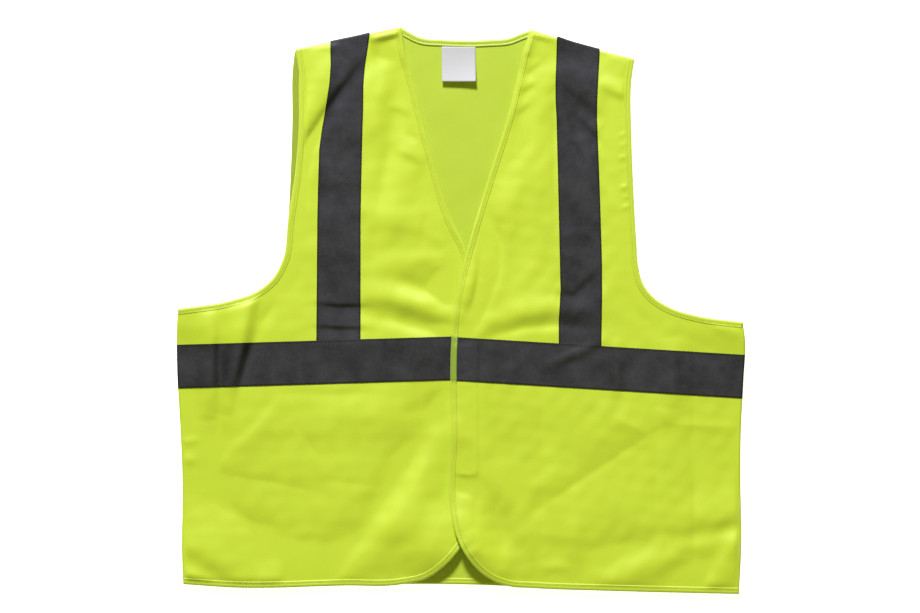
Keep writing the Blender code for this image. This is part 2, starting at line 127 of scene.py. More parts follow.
def area_light(name, place, size, watts, colour):
    """A square panel that faces the vest."""
    data = bpy.data.lights.new(name, "AREA")
    data.shape = "RECTANGLE"
    data.size = size
    data.size_y = size
    data.energy = watts
    data.color = srgb(colour)[:3]
    lamp = bpy.data.objects.new(name, data)
    lamp.location = place
    lamp.rotation_euler = (-Vector(place)).to_track_quat("-Z", "Y").to_euler()
    bpy.context.scene.collection.objects.link(lamp)


flat_floor(FLOOR_SIZE, FLOOR_Z)
area_light("key", KEY_PLACE, KEY_SIZE, KEY_WATTS, "f1f3ff")
area_light("fill", FILL_PLACE, FILL_SIZE, FILL_WATTS, "f4f6a8")
world = bpy.data.worlds.new("studio")
world.use_nodes = True
world.node_tree.nodes["Background"].inputs["Color"].default_value = srgb("f4f66c")
world.node_tree.nodes["Background"].inputs["Strength"].default_value = SKY_STRENGTH
bpy.context.scene.world = world
bpy.context.scene.view_settings.view_transform = "Standard"
print("floor", FLOOR_SIZE, "m")

# %% [markdown]
# ## The pattern
# A maker draws an edge as a few points with a smooth line through them.  The same is done here:
# each edge is a short table, and one function runs a curve through it and steps along it evenly.

# %% Lines
def along(line):
    """Distance run from a line's start to each of its points."""
    return np.concatenate(([0.0], np.cumsum(np.linalg.norm(np.diff(line, axis=0), axis=1))))


def resample(line, count):
    """The same line with count points, evenly spaced."""
    at = along(line)
    even = np.linspace(0.0, at[-1], count)
    return np.column_stack([np.interp(even, at, line[:, k]) for k in range(line.shape[1])])


def smooth_line(knots, count=900):
    """Cubic (Hermite) pieces between the knots, each knot's slope taken from its neighbours."""
    knots = np.array(knots, dtype=float)
    at = along(knots)
    slope = np.gradient(knots, at, axis=0)
    run = np.linspace(0.0, at[-1], 3000)
    piece = np.clip(np.searchsorted(at, run, side="right") - 1, 0, len(knots) - 2)
    size = (at[piece + 1] - at[piece])[:, None]
    t = (run - at[piece])[:, None] / size
    fine = ((1 + 2 * t) * (1 - t) ** 2 * knots[piece] + t * (1 - t) ** 2 * size * slope[piece]
            + t ** 2 * (3 - 2 * t) * knots[piece + 1] + t ** 2 * (t - 1) * size * slope[piece + 1])
    return resample(fine, count)


def inset(line, distance, hand):
    """The line moved sideways by a distance: to its left for hand 1, to its right for -1."""
    way = np.gradient(line, axis=0)
    way /= np.linalg.norm(way, axis=1)[:, None]
    return line + np.reshape(distance, (-1, 1)) * hand * np.column_stack((-way[:, 1], way[:, 0]))


def distance_to(points, line):
    """Distance from each point to the nearest place on a line, worked out segment by segment."""
    nearest = np.full(len(points), np.inf)
    line = resample(line, 70) if len(line) > 90 else line
    for start, end in zip(line[:-1], line[1:]):
        step = end - start
        reach = points - start
        t = np.clip((reach @ step) / (step @ step), 0.0, 1.0)
        nearest = np.minimum(nearest, np.hypot(*(reach - t[:, None] * step).T))
    return nearest


def ease(distance, near, far):
    """1 up to the near distance, 0 past the far one, with a smooth S between."""
    t = np.clip((far - distance) / (far - near), 0.0, 1.0)
    return t * t * (3.0 - 2.0 * t)


# %% Edges, as sewn (x, y in metres)
CENTRE_UNDER = 0.0180
CENTRE_OVER = -0.0117
NECK = smooth_line(((-0.0694, 0.3309), (-0.0597, 0.3250), (-0.0480, 0.3195), (-0.0222, 0.3168),
                    (0.0340, 0.3166), (0.0560, 0.3186), (0.0700, 0.3240), (0.0808, 0.3278)))
ARMHOLE_RIGHT = smooth_line(((-0.1935, 0.3050), (-0.1900, 0.2837), (-0.1895, 0.2229),
                             (-0.1936, 0.1632), (-0.2020, 0.1060), (-0.2083, 0.0591),
                             (-0.2176, 0.0404), (-0.2399, 0.0216), (-0.2668, 0.0123),
                             (-0.3305, 0.0020)))
ARMHOLE_RIGHT_BACK = smooth_line(((-0.1945, 0.3035), (-0.1968, 0.2826), (-0.1973, 0.2229),
                                  (-0.1993, 0.1597), (-0.2024, 0.1060), (-0.2083, 0.0591),
                                  (-0.2176, 0.0404), (-0.2399, 0.0216), (-0.2668, 0.0123),
                                  (-0.3305, 0.0020)))
ARMHOLE_LEFT = smooth_line(((0.2026, 0.2935), (0.1996, 0.2750), (0.1991, 0.2000),
                            (0.2012, 0.1433), (0.2048, 0.0800), (0.2074, 0.0497),
                            (0.2129, 0.0310), (0.2245, 0.0160), (0.2457, 0.0029),
                            (0.2773, -0.0064), (0.3292, -0.0135)))
OPENING_RIGHT = smooth_line(((-0.0694, 0.3309), (-0.0661, 0.3048), (-0.0573, 0.2733),
                             (-0.0329, 0.1788), (-0.0101, 0.1034), (0.0047, 0.0743),
                             (0.0140, 0.0450), (CENTRE_UNDER, 0.0050), (CENTRE_UNDER, -0.1200),
                             (CENTRE_UNDER, -0.2300), (0.0118, -0.2580), (-0.0012, -0.2779),
                             (-0.0171, -0.2960), (-0.0400, -0.3125), (-0.0720, -0.3200),
                             (-0.1346, -0.3212), (-0.2656, -0.3235), (-0.3245, -0.3196)), 1200)
OPENING_LEFT = smooth_line(((0.0808, 0.3278), (0.0718, 0.2996), (0.0648, 0.2698),
                            (0.0508, 0.2138), (0.0350, 0.1647), (0.0193, 0.1140),
                            (0.0050, 0.0640), (-0.0070, 0.0123), (CENTRE_OVER, -0.0400),
                            (CENTRE_OVER, -0.1400), (CENTRE_OVER, -0.2350), (-0.0070, -0.2580),
                            (0.0094, -0.2907), (0.0222, -0.3048), (0.0386, -0.3159),
                            (0.0560, -0.3218), (0.0850, -0.3242), (0.1650, -0.3272),
                            (0.3244, -0.3312)), 1200)
HEM_BACK = smooth_line(((-0.3245, -0.3190), (-0.2656, -0.3228), (-0.1346, -0.3206),
                        (0.0000, -0.3202), (0.0850, -0.3234), (0.1650, -0.3264),
                        (0.3244, -0.3304)))
SIDE_RIGHT = smooth_line(((-0.3305, 0.0020), (-0.3317, -0.0160), (-0.3317, -0.0684),
                          (-0.3276, -0.1450), (-0.3254, -0.2050), (-0.3260, -0.2800),
                          (-0.3245, -0.3196)))
SIDE_LEFT = smooth_line(((0.3292, -0.0135), (0.3317, -0.0345), (0.3299, -0.0825),
                         (0.3270, -0.1400), (0.3264, -0.2000), (0.3274, -0.2650),
                         (0.3244, -0.3312)))
SHOULDER_RIGHT = smooth_line(((-0.1935, 0.3050), (-0.1600, 0.3118), (-0.1100, 0.3224),
                              (-0.0694, 0.3309)))
SHOULDER_LEFT = smooth_line(((0.2026, 0.2935), (0.1600, 0.3048), (0.1150, 0.3172),
                             (0.0808, 0.3278)))
print("opening edges", [round(float(along(e)[-1]), 3) for e in (OPENING_RIGHT, OPENING_LEFT)])

# %% [markdown]
# ## How high the cloth lies
# The back lies flat.  A front touches it only at the side and shoulder seams; at the other edges
# it lies on two bindings, its own and the back's.  In between it holds a little air.  Where the
# left front laps over the right one it lies on that front, on its binding and on the fastener.
# All of this is one function of x and y, so tapes, bindings and stitches can ask it for their
# height and always lie on the cloth.

# %% Resting height
AIR = 0.0030
PLAY = 0.0004
SHARE = 5.0               # how sharply the largest of several needs wins
REST = 0.0005             # how softly a trough comes to rest on what lies beneath

# Near and far distances from an edge.  Up to the first one it lifts the cloth fully, or holds
# it down at a seam; past the second one not at all.
OPENING_LIFTS = (0.0, 0.030)
HEM_LIFTS = (0.011, 0.095)
ARMHOLE_LIFTS = (0.014, 0.048)
NECK_LIFTS = (0.020, 0.055)
SIDE_HOLDS = (0.002, 0.085)
SHOULDER_HOLDS = (0.002, 0.052)
# Near and far: the stitches keep the cloth flat up to the first, and it folds freely past the
# second.
FLAT_AT_OPENING = (0.000, 0.008)
FLAT_AT_HEM = (0.000, 0.012)
FLAT_AT_ARMHOLE = (0.002, 0.012)
FLAT_AT_SIDE = (0.000, 0.007)
FLAT_AT_SHOULDER = (0.000, 0.005)
CLOSED_BELOW = (0.030, 0.120)      # y up to which the fronts are held together, then apart
OPENING_STRIP = 0.010     # the opening lifts the cloth this far in, and more where it is closed
CLOSED_STRIP = 0.026


def largest(*needs):
    """A smooth maximum: the power mean, which has no crease where two needs are equal."""
    return sum(need ** SHARE for need in needs) ** (1.0 / SHARE)


def front_rest(points, opening, armhole, side, shoulder):
    """Underside of a front without folds, and how free the cloth is to move there."""
    off_opening = distance_to(points, opening)
    off_hem = distance_to(points, HEM_BACK)
    off_armhole = distance_to(points, armhole)
    off_side = distance_to(points, side)
    off_shoulder = distance_to(points, shoulder)
    strip = OPENING_STRIP + CLOSED_STRIP * ease(points[:, 1], *CLOSED_BELOW)
    at_opening = ease(off_opening - strip, *OPENING_LIFTS)
    at_hem = ease(off_hem, *HEM_LIFTS)
    at_armhole = ease(off_armhole, *ARMHOLE_LIFTS)
    at_neck = ease(distance_to(points, NECK), *NECK_LIFTS)
    at_seam = np.maximum(ease(off_side, *SIDE_HOLDS), ease(off_shoulder, *SHOULDER_HOLDS))
    need = largest(LAYER * at_opening, 2 * LAYER * at_hem, 2 * LAYER * at_armhole,
                   2 * LAYER * at_neck)
    free = (1 - at_hem) * (1 - at_armhole) * (1 - at_neck) * (1 - at_seam) * (1 - at_opening)
    loose = ((1 - ease(off_hem, *FLAT_AT_HEM)) * (1 - ease(off_armhole, *FLAT_AT_ARMHOLE))
             * (1 - ease(off_side, *FLAT_AT_SIDE)) * (1 - ease(off_shoulder, *FLAT_AT_SHOULDER))
             * (1 - ease(off_opening, *FLAT_AT_OPENING)))
    return SEAM_Z + need, free * AIR, loose


def settle(lowest, lift):
    """Lowest place plus lift, where the lift can't go below nothing: a smooth ramp."""
    return lowest + 0.5 * (lift + np.sqrt(lift ** 2 + REST ** 2))


# %% [markdown]
# A fold is a ridge or a trough along a run of a few points.  The folds of this vest lie in
# particular places, so each is one row of a table, which is easy to move, raise or lean.  What has
# no place of its own, the slight unevenness of any cloth, comes from sine waves instead.

# %% Folds
def folds_at(points, table, power=2.0):
    """Sum of folds.  Each row gives a run of points, half width, rise and a lean.

    Across a fold the height is rise * exp(-(d / width)^power), with the width changed by the
    lean on one side, so that one flank is steeper.  Along it the fold fades in and out.  Power
    2 is a soft fold; power 1 comes to an edge, rounded over a millimetre, as a crease does.
    """
    rise = np.zeros(len(points))
    for run, width, height, lean in table:
        run = np.array(run, dtype=float)
        lengths = along(run)
        nearest = np.full(len(points), np.inf)
        place = np.zeros(len(points))
        flank = np.zeros(len(points))
        for k in range(len(run) - 1):
            step = run[k + 1] - run[k]
            reach = points - run[k]
            t = np.clip((reach @ step) / (step @ step), 0.0, 1.0)
            off = reach - t[:, None] * step
            d = np.hypot(off[:, 0], off[:, 1])
            closer = d < nearest
            nearest = np.where(closer, d, nearest)
            place = np.where(closer, (lengths[k] + t * (lengths[k + 1] - lengths[k]))
                             / lengths[-1], place)
            turn = step[0] * reach[:, 1] - step[1] * reach[:, 0]
            flank = np.where(closer, np.tanh(turn / np.hypot(*step) / (0.5 * width)), flank)
        fade = np.clip(np.sin(np.pi * np.clip(place, 0.02, 0.98)), 0.0, 1.0) ** 0.6
        spread = width * (1.0 + lean * flank)
        across = np.sqrt(nearest ** 2 + 0.001 ** 2) / spread
        rise += height * fade * np.exp(-across ** power)
    return rise


def ripple(points, seed, shortest, longest, count=14):
    """Uneven swell: a sum of sine waves with random directions, lengths and phases."""
    random = np.random.default_rng(seed)
    angle = random.uniform(0.0, np.pi, count)
    length = random.uniform(shortest, longest, count)
    phase = random.uniform(0.0, 2 * np.pi, count)
    wave = 2 * np.pi / length
    turn = (points[:, :1] * np.cos(angle) + points[:, 1:2] * np.sin(angle)) * wave + phase
    return np.sin(turn).sum(axis=1) / math.sqrt(count)


# The large folds and the main creases, placed on the vest as it lies.
# Columns: the fold's run, half width, rise, lean.
FOLDS_RIGHT = (
    # drag folds that gather to the fastener
    (((-0.1300, 0.0200), (-0.0850, 0.0165), (-0.0560, 0.0070), (-0.0300, -0.0030),
      (0.0150, -0.0230)), 0.0135, 0.0030, 0.1),
    (((-0.1250, -0.0030), (-0.0850, -0.0070), (-0.0560, -0.0165), (-0.0300, -0.0225),
      (0.0100, -0.0310)), 0.0115, -0.0028, 0.2),
    (((-0.0800, 0.0349), (-0.0393, 0.0240), (-0.0040, 0.0130)), 0.0100, -0.0026, 0.0),
    (((-0.1080, 0.0490), (-0.0550, 0.0579), (-0.0090, 0.0619)), 0.0110, 0.0015, 0.0),
    # across the brace, above the band
    (((-0.1720, 0.0060), (-0.1450, 0.0025), (-0.1080, 0.0030)), 0.0070, -0.0022, -0.6),
    (((-0.1740, -0.0205), (-0.1400, -0.0230), (-0.1080, -0.0225)), 0.0060, -0.0020, -0.6),
    # the diagonal from the shoulder to the armhole
    (((-0.1540, 0.3040), (-0.1620, 0.2700), (-0.1720, 0.2420), (-0.1880, 0.2020),
      (-0.1960, 0.1500), (-0.2020, 0.1000)), 0.0170, 0.0050, 0.1),
    (((-0.1020, 0.3000), (-0.1147, 0.2850), (-0.1416, 0.2510), (-0.1615, 0.2230),
      (-0.1810, 0.1880), (-0.1900, 0.1550)), 0.0085, -0.0038, 0.25),
    (((-0.1740, 0.2150), (-0.1800, 0.1850), (-0.1850, 0.1400), (-0.1900, 0.0900)),
     0.0105, -0.0036, -0.35),
    # down from the shoulder between brace and opening
    (((-0.0600, 0.2900), (-0.0740, 0.2400), (-0.0830, 0.1850), (-0.0960, 0.1250),
      (-0.1060, 0.0600)), 0.0105, -0.0021, 0.0),
    (((-0.0860, 0.2950), (-0.0960, 0.2500), (-0.1030, 0.2000)), 0.0100, 0.0016, 0.0),
    (((-0.0560, 0.2150), (-0.0680, 0.1500), (-0.0760, 0.0900)), 0.0160, 0.0018, 0.0),
    (((-0.1120, 0.1060), (-0.0800, 0.1020), (-0.0430, 0.0960)), 0.0260, 0.0028, 0.0),
    # pinched at the shoulder seam, next to the neck
    (((-0.1060, 0.3180), (-0.0880, 0.3220), (-0.0680, 0.3270)), 0.0052, 0.0044, 0.0),
    (((-0.1020, 0.3290), (-0.1015, 0.3150), (-0.1000, 0.2960)), 0.0055, 0.0022, 0.2),
    (((-0.0820, 0.3180), (-0.0750, 0.3130), (-0.0700, 0.3070)), 0.0032, -0.0018, 0.0),
    # short puckers beside the opening
    (((-0.0860, 0.2420), (-0.0700, 0.2370), (-0.0560, 0.2300)), 0.0080, 0.0012, 0.3),
    (((-0.0760, 0.1900), (-0.0580, 0.1830), (-0.0400, 0.1720)), 0.0085, 0.0013, 0.3),
    (((-0.0640, 0.2080), (-0.0560, 0.2020), (-0.0480, 0.1990)), 0.0060, -0.0009, 0.0),
    (((-0.0480, 0.0930), (-0.0300, 0.0850), (-0.0180, 0.0740)), 0.0070, 0.0006, 0.0),
    (((-0.0420, 0.0480), (-0.0246, 0.0300), (-0.0080, 0.0180)), 0.0110, -0.0014, 0.0),
    # beside the armhole, and the long one that runs from under it into the band
    (((-0.2420, 0.0330), (-0.2510, 0.0000), (-0.2570, -0.0400), (-0.2690, -0.0880),
      (-0.2780, -0.1250)), 0.0130, 0.0056, -0.3),
    (((-0.2160, 0.0350), (-0.2300, -0.0030), (-0.2440, -0.0420), (-0.2610, -0.0850),
      (-0.2720, -0.1150)), 0.0100, -0.0026, 0.0),
    (((-0.2930, 0.0050), (-0.2925, -0.0500), (-0.2925, -0.1300)), 0.0125, 0.0048, -0.3),
    (((-0.0480, -0.0350), (-0.0500, -0.0600), (-0.0620, -0.0850)), 0.0070, 0.0010, 0.0),
    # below the band
    (((-0.0100, -0.1000), (-0.0380, -0.1375), (-0.0660, -0.1714), (-0.0900, -0.2182),
      (-0.1400, -0.2850)), 0.0200, -0.0034, 0.0),
    (((-0.0050, -0.0960), (-0.0300, -0.1080), (-0.0720, -0.1220)), 0.0110, -0.0016, 0.0),
    (((-0.0120, -0.0950), (-0.0240, -0.1400), (-0.0360, -0.1780), (-0.0560, -0.2180),
      (-0.0900, -0.2640), (-0.1350, -0.3080), (-0.1650, -0.3400)), 0.0185, 0.0036, 0.2),
    (((-0.1600, -0.1180), (-0.1000, -0.1210), (-0.0400, -0.1130)), 0.0140, 0.0014, 0.0),
    (((-0.2030, -0.0960), (-0.2300, -0.1340), (-0.2660, -0.1680), (-0.2870, -0.1960),
      (-0.3020, -0.2200)), 0.0130, 0.0014, 0.4),
    (((-0.3900, -0.2350), (-0.3180, -0.2680), (-0.2700, -0.3000), (-0.2300, -0.3400)),
     0.0240, 0.0032, 0.35),
    (((-0.3800, -0.2950), (-0.3200, -0.3080), (-0.3000, -0.3200), (-0.2750, -0.3500)),
     0.0120, 0.0030, 0.0),
    (((-0.2280, -0.3300), (-0.2120, -0.3020), (-0.1980, -0.2760)), 0.0130, 0.0018, 0.2),
    (((-0.3340, -0.1500), (-0.3200, -0.1530), (-0.3050, -0.1500)), 0.0050, 0.0011, 0.0),
    (((-0.3340, -0.1700), (-0.3220, -0.1740), (-0.3100, -0.1760)), 0.0060, 0.0009, 0.0),
)
CREASES_RIGHT = (
    # sharp creases, where the cloth was folded in its packet
    (((-0.1971, -0.1270), (-0.1800, -0.1520), (-0.1620, -0.1760)), 0.0120, -0.0011, 0.0),
    (((-0.2815, -0.0250), (-0.2822, -0.1300), (-0.2820, -0.2150)), 0.0150, -0.0030, 0.0),
    (((-0.2760, -0.1880), (-0.2840, -0.1980), (-0.2930, -0.2090)), 0.0050, -0.0018, 0.0),
    (((-0.3120, -0.1850), (-0.2843, -0.1905), (-0.2226, -0.2000), (-0.1600, -0.2140)),
     0.0080, -0.0010, 0.0),
    (((-0.1640, -0.1975), (-0.1300, -0.2020), (-0.0950, -0.2060)), 0.0080, -0.0007, 0.0),
    (((-0.3000, -0.2050), (-0.2480, -0.2480), (-0.2186, -0.2720), (-0.1850, -0.3050),
      (-0.1500, -0.3500)), 0.0170, -0.0042, 0.1),
    (((-0.2100, -0.0960), (-0.1500, -0.0978), (-0.0950, -0.0960)), 0.0110, -0.0012, 0.0),
    (((-0.1045, -0.0350), (-0.1045, -0.0800), (-0.1040, -0.1100)), 0.0070, -0.0005, 0.0),
    (((-0.0405, 0.0300), (-0.0395, 0.0420), (-0.0316, 0.0503), (-0.0110, 0.0562)),
     0.0030, 0.0006, 0.0),
)
FOLDS_LEFT = (
    # drag folds beside the opening
    (((-0.0050, -0.0360), (0.0070, 0.0000), (0.0130, 0.0330), (0.0240, 0.0850)),
     0.0100, 0.0034, 0.0),
    (((-0.0120, -0.0520), (0.0120, -0.0100), (0.0225, 0.0160), (0.0320, 0.0460),
      (0.0450, 0.1000)), 0.0125, -0.0047, 0.1),
    (((0.0390, -0.0050), (0.0440, 0.0400), (0.0520, 0.1000), (0.0620, 0.1800)),
     0.0160, 0.0018, 0.0),
    (((0.0560, 0.0200), (0.0680, 0.0800), (0.0740, 0.1500)), 0.0150, -0.0010, 0.0),
    (((0.0000, -0.0380), (0.0351, -0.0180), (0.0650, -0.0065), (0.1000, 0.0010),
      (0.1600, 0.0000)), 0.0140, 0.0028, 0.1),
    (((0.0100, -0.0400), (0.0400, -0.0265), (0.0700, -0.0185), (0.1112, -0.0150),
      (0.1700, -0.0200)), 0.0100, -0.0020, 0.35),
    # pinched at the shoulder seam, next to the neck, and puckers below it
    (((0.0800, 0.3260), (0.0930, 0.3220), (0.1090, 0.3180)), 0.0040, 0.0034, 0.0),
    (((0.0810, 0.3260), (0.0780, 0.3160), (0.0730, 0.2960)), 0.0065, 0.0030, 0.2),
    (((0.0770, 0.3110), (0.0700, 0.2740), (0.0640, 0.2490), (0.0570, 0.2180)),
     0.0065, 0.0020, 0.0),
    (((0.0740, 0.2800), (0.0840, 0.2870), (0.0930, 0.2930)), 0.0060, 0.0011, 0.4),
    (((0.0680, 0.2570), (0.0780, 0.2640), (0.0870, 0.2680)), 0.0065, 0.0013, 0.4),
    (((0.0630, 0.2320), (0.0730, 0.2400), (0.0800, 0.2450)), 0.0065, 0.0010, 0.4),
    # between opening and brace
    (((0.0950, 0.3100), (0.0930, 0.2500), (0.0900, 0.1700), (0.0900, 0.0800)),
     0.0130, 0.0014, 0.0),
    (((0.1090, 0.2700), (0.1090, 0.1800), (0.1100, 0.0700)), 0.0050, -0.0008, 0.0),
    # across the brace
    (((0.1080, 0.2660), (0.1340, 0.2430), (0.1660, 0.2160)), 0.0110, -0.0022, -0.3),
    (((0.1250, 0.2320), (0.1420, 0.2120), (0.1660, 0.1920)), 0.0080, -0.0022, -0.3),
    (((0.1150, 0.2100), (0.1300, 0.1900), (0.1440, 0.1650)), 0.0060, -0.0012, 0.0),
    (((0.1080, 0.0175), (0.1335, 0.0146), (0.1480, 0.0290), (0.1640, 0.0450)),
     0.0090, -0.0030, -0.35),
    (((0.1120, 0.0900), (0.1400, 0.0880), (0.1640, 0.0900)), 0.0070, 0.0010, 0.0),
    # beside the armhole
    (((0.1600, 0.2680), (0.1800, 0.2580), (0.2010, 0.2470)), 0.0090, 0.0022, 0.2),
    (((0.1640, 0.2250), (0.1700, 0.1600), (0.1930, 0.1180)), 0.0080, -0.0013, 0.0),
    (((0.1990, 0.2090), (0.1910, 0.2070), (0.1830, 0.2040)), 0.0026, 0.0011, 0.3),
    (((0.1990, 0.1955), (0.1920, 0.1950), (0.1850, 0.1930)), 0.0024, 0.0008, 0.3),
    (((0.1990, 0.1830), (0.1910, 0.1800), (0.1830, 0.1780)), 0.0028, 0.0012, 0.3),
    (((0.1990, 0.1690), (0.1930, 0.1670), (0.1860, 0.1660)), 0.0024, 0.0008, 0.3),
    (((0.2000, 0.1480), (0.1920, 0.1450), (0.1850, 0.1440)), 0.0028, 0.0013, 0.3),
    (((0.2000, 0.1350), (0.1930, 0.1330), (0.1870, 0.1320)), 0.0024, 0.0009, 0.3),
    (((0.2010, 0.1250), (0.1950, 0.1220), (0.1880, 0.1210)), 0.0028, 0.0013, 0.3),
    (((0.2060, 0.0600), (0.2080, 0.0200), (0.2200, -0.0150)), 0.0130, -0.0012, 0.0),
    (((0.2850, -0.0080), (0.3050, -0.0200), (0.3300, -0.0280)), 0.0100, 0.0014, 0.0),
    # across the band
    (((0.0560, -0.0330), (0.0590, -0.0600), (0.0600, -0.0900)), 0.0080, 0.0013, 0.0),
    (((0.0900, -0.0700), (0.1130, -0.0590), (0.1350, -0.0500), (0.1680, -0.0340)),
     0.0060, 0.0024, 0.0),
    (((0.1810, -0.0300), (0.1820, -0.0650), (0.1800, -0.1050)), 0.0070, 0.0018, 0.0),
    (((0.2420, -0.0300), (0.2460, -0.0700), (0.2420, -0.1150)), 0.0130, 0.0026, 0.0),
    # below the band
    (((0.0150, -0.1980), (0.0300, -0.2200), (0.0440, -0.2480), (0.0620, -0.2900)),
     0.0140, -0.0018, 0.0),
    (((-0.0040, -0.2050), (0.0030, -0.2450), (0.0200, -0.2800), (0.0420, -0.3020)),
     0.0130, 0.0024, 0.0),
    (((0.0380, -0.1700), (0.0560, -0.2150), (0.0740, -0.2600), (0.0860, -0.2950)),
     0.0170, 0.0022, 0.0),
    (((0.0780, -0.2080), (0.1030, -0.2000), (0.1250, -0.1860)), 0.0120, 0.0011, 0.0),
    (((0.1550, -0.3220), (0.1950, -0.3060), (0.2350, -0.2910), (0.2850, -0.2740)),
     0.0170, 0.0034, 0.0),
    (((0.1500, -0.2980), (0.1954, -0.2713), (0.2750, -0.2550)), 0.0110, -0.0010, 0.0),
    (((0.2350, -0.2550), (0.2850, -0.2430), (0.3400, -0.2340), (0.4000, -0.2280)),
     0.0200, 0.0039, 0.3),
    (((0.2500, -0.2830), (0.3000, -0.2720), (0.3400, -0.2660), (0.3900, -0.2600)),
     0.0140, 0.0022, -0.2),
    (((0.3500, -0.2300), (0.3240, -0.2670), (0.2960, -0.3170), (0.2800, -0.3500)),
     0.0140, 0.0030, 0.2),
    (((0.1230, -0.2450), (0.1340, -0.2700), (0.1300, -0.3050)), 0.0120, 0.0014, 0.0),
    (((0.0900, -0.3010), (0.1100, -0.2990), (0.1300, -0.3020)), 0.0070, 0.0010, 0.0),
    # under the lower end of the fastener
    (((-0.0047, -0.1905), (0.0060, -0.1925), (0.0164, -0.1935)), 0.0030, 0.0009, 0.0),
    (((-0.0080, -0.2050), (0.0040, -0.2075), (0.0200, -0.2110)), 0.0080, -0.0022, 0.1),
    (((0.0200, -0.1980), (0.0170, -0.2030), (0.0125, -0.2110)), 0.0040, -0.0014, 0.0),
)
CREASES_LEFT = (
    # the long sharp crease below the band, and its branches
    (((0.0780, -0.2390), (0.1200, -0.2115), (0.2186, -0.1464), (0.2580, -0.1260)),
     0.0100, -0.0015, 0.0),
    (((0.2300, -0.1300), (0.2454, -0.1321), (0.2850, -0.1345), (0.3350, -0.1357)),
     0.0140, 0.0016, 0.0),
    (((0.2240, -0.1490), (0.2000, -0.1350), (0.1700, -0.1200)), 0.0100, 0.0012, 0.0),
    (((0.2480, -0.1340), (0.2370, -0.1230), (0.2270, -0.1120)), 0.0080, 0.0008, 0.0),
    # creases from folding the vest in its packet
    (((0.0936, -0.0300), (0.0938, -0.1500), (0.0940, -0.2900)), 0.0100, -0.0015, 0.0),
    (((0.1294, -0.0900), (0.1296, -0.1700), (0.1290, -0.2600)), 0.0080, -0.0007, 0.0),
    (((0.2274, -0.0900), (0.2274, -0.1700), (0.2270, -0.2600)), 0.0080, -0.0009, 0.0),
    (((0.2721, -0.0150), (0.2721, -0.1500), (0.2725, -0.3350)), 0.0120, -0.0030, -0.3),
)
print("folds", len(FOLDS_RIGHT) + len(CREASES_RIGHT), "and", len(FOLDS_LEFT) + len(CREASES_LEFT))

# %% [markdown]
# Sewn edges are a little shorter than the cloth they hold, so the cloth beside them puckers in
# short uneven waves.  They are strongest at the strip and die out over a few centimetres.

# %% Puckers and the whole height
SWELL = 0.00055
SWELL_LENGTHS = (0.05, 0.16)       # shortest and longest wave
PUCKER = 0.00028
CRUMPLE = 0.00018
CRUMPLE_WAVES = (0.016, 0.044, 26)      # shortest and longest wave, and how many
UNDER_CORNER = (-0.032, -0.274, 0.0106)      # x, y and rise of a curled corner
OVER_CORNER = (0.026, -0.296, 0.0074)
CORNER_REACH = 0.040
FASTENER_RISE = 0.0007    # the strips under the lap lift it this much
FASTENER_CENTRE = (0.0061, -0.1160)
FASTENER_HALF = (0.0125, 0.0750)        # half its width and length
FASTENER_SLOPE = 0.0025
LAP_EDGE = (0.004, 0.045)      # near and far: how the lap comes down beside the other front


def puckers(points, line, seed, pitch=0.017, reach=0.013):
    """Waves along a sewn line: sin(run / pitch) with uneven strength, fading away from it."""
    line = resample(line, 140)
    run = along(line)
    gap = np.full(len(points), np.inf)
    place = np.zeros(len(points))
    for k, knot in enumerate(line):
        d = np.hypot(*(points - knot).T)
        closer = d < gap
        gap = np.where(closer, d, gap)
        place = np.where(closer, run[k], place)
    random = np.random.default_rng(seed)
    phase = random.uniform(0, 2 * np.pi, 5)
    waves = sum(np.sin(2 * np.pi * place / (pitch * factor) + phase[k])
                for k, factor in enumerate((1.0, 1.37, 0.71, 2.3, 3.1)))
    strength = 0.5 + 0.5 * np.sin(2 * np.pi * place / 0.21 + phase[4])
    return PUCKER * waves / 2.2 * strength * np.exp(-gap / reach)


def corner_lift(points, x, y, rise):
    """The free lower corners of the opening curl up: rise * exp(-(d / CORNER_REACH)^2)."""
    away = (points[:, 0] - x) ** 2 + (points[:, 1] - y) ** 2
    return rise * np.exp(-away / CORNER_REACH ** 2)


def front_folds(points, folds, creases, opening, armhole, seeds):
    """All that bends a front: folds, creases, swell, crumple, and puckers at two bound edges."""
    rise = folds_at(points, folds) + folds_at(points, creases, 1.0)
    rise += (SWELL * ripple(points, seeds[0], *SWELL_LENGTHS)
             + CRUMPLE * ripple(points, seeds[1], *CRUMPLE_WAVES))
    return rise + puckers(points, opening, seeds[2]) + puckers(points, armhole, seeds[3])


def under_height(points):
    """Underside of the wearer's right front, which lies beneath."""
    lowest, air, loose = front_rest(points, OPENING_RIGHT, ARMHOLE_RIGHT, SIDE_RIGHT,
                                    SHOULDER_RIGHT)
    folds = front_folds(points, FOLDS_RIGHT, CREASES_RIGHT, OPENING_RIGHT, ARMHOLE_RIGHT,
                        (3, 4, 5, 6))
    return settle(lowest, air + loose * folds + corner_lift(points, *UNDER_CORNER))


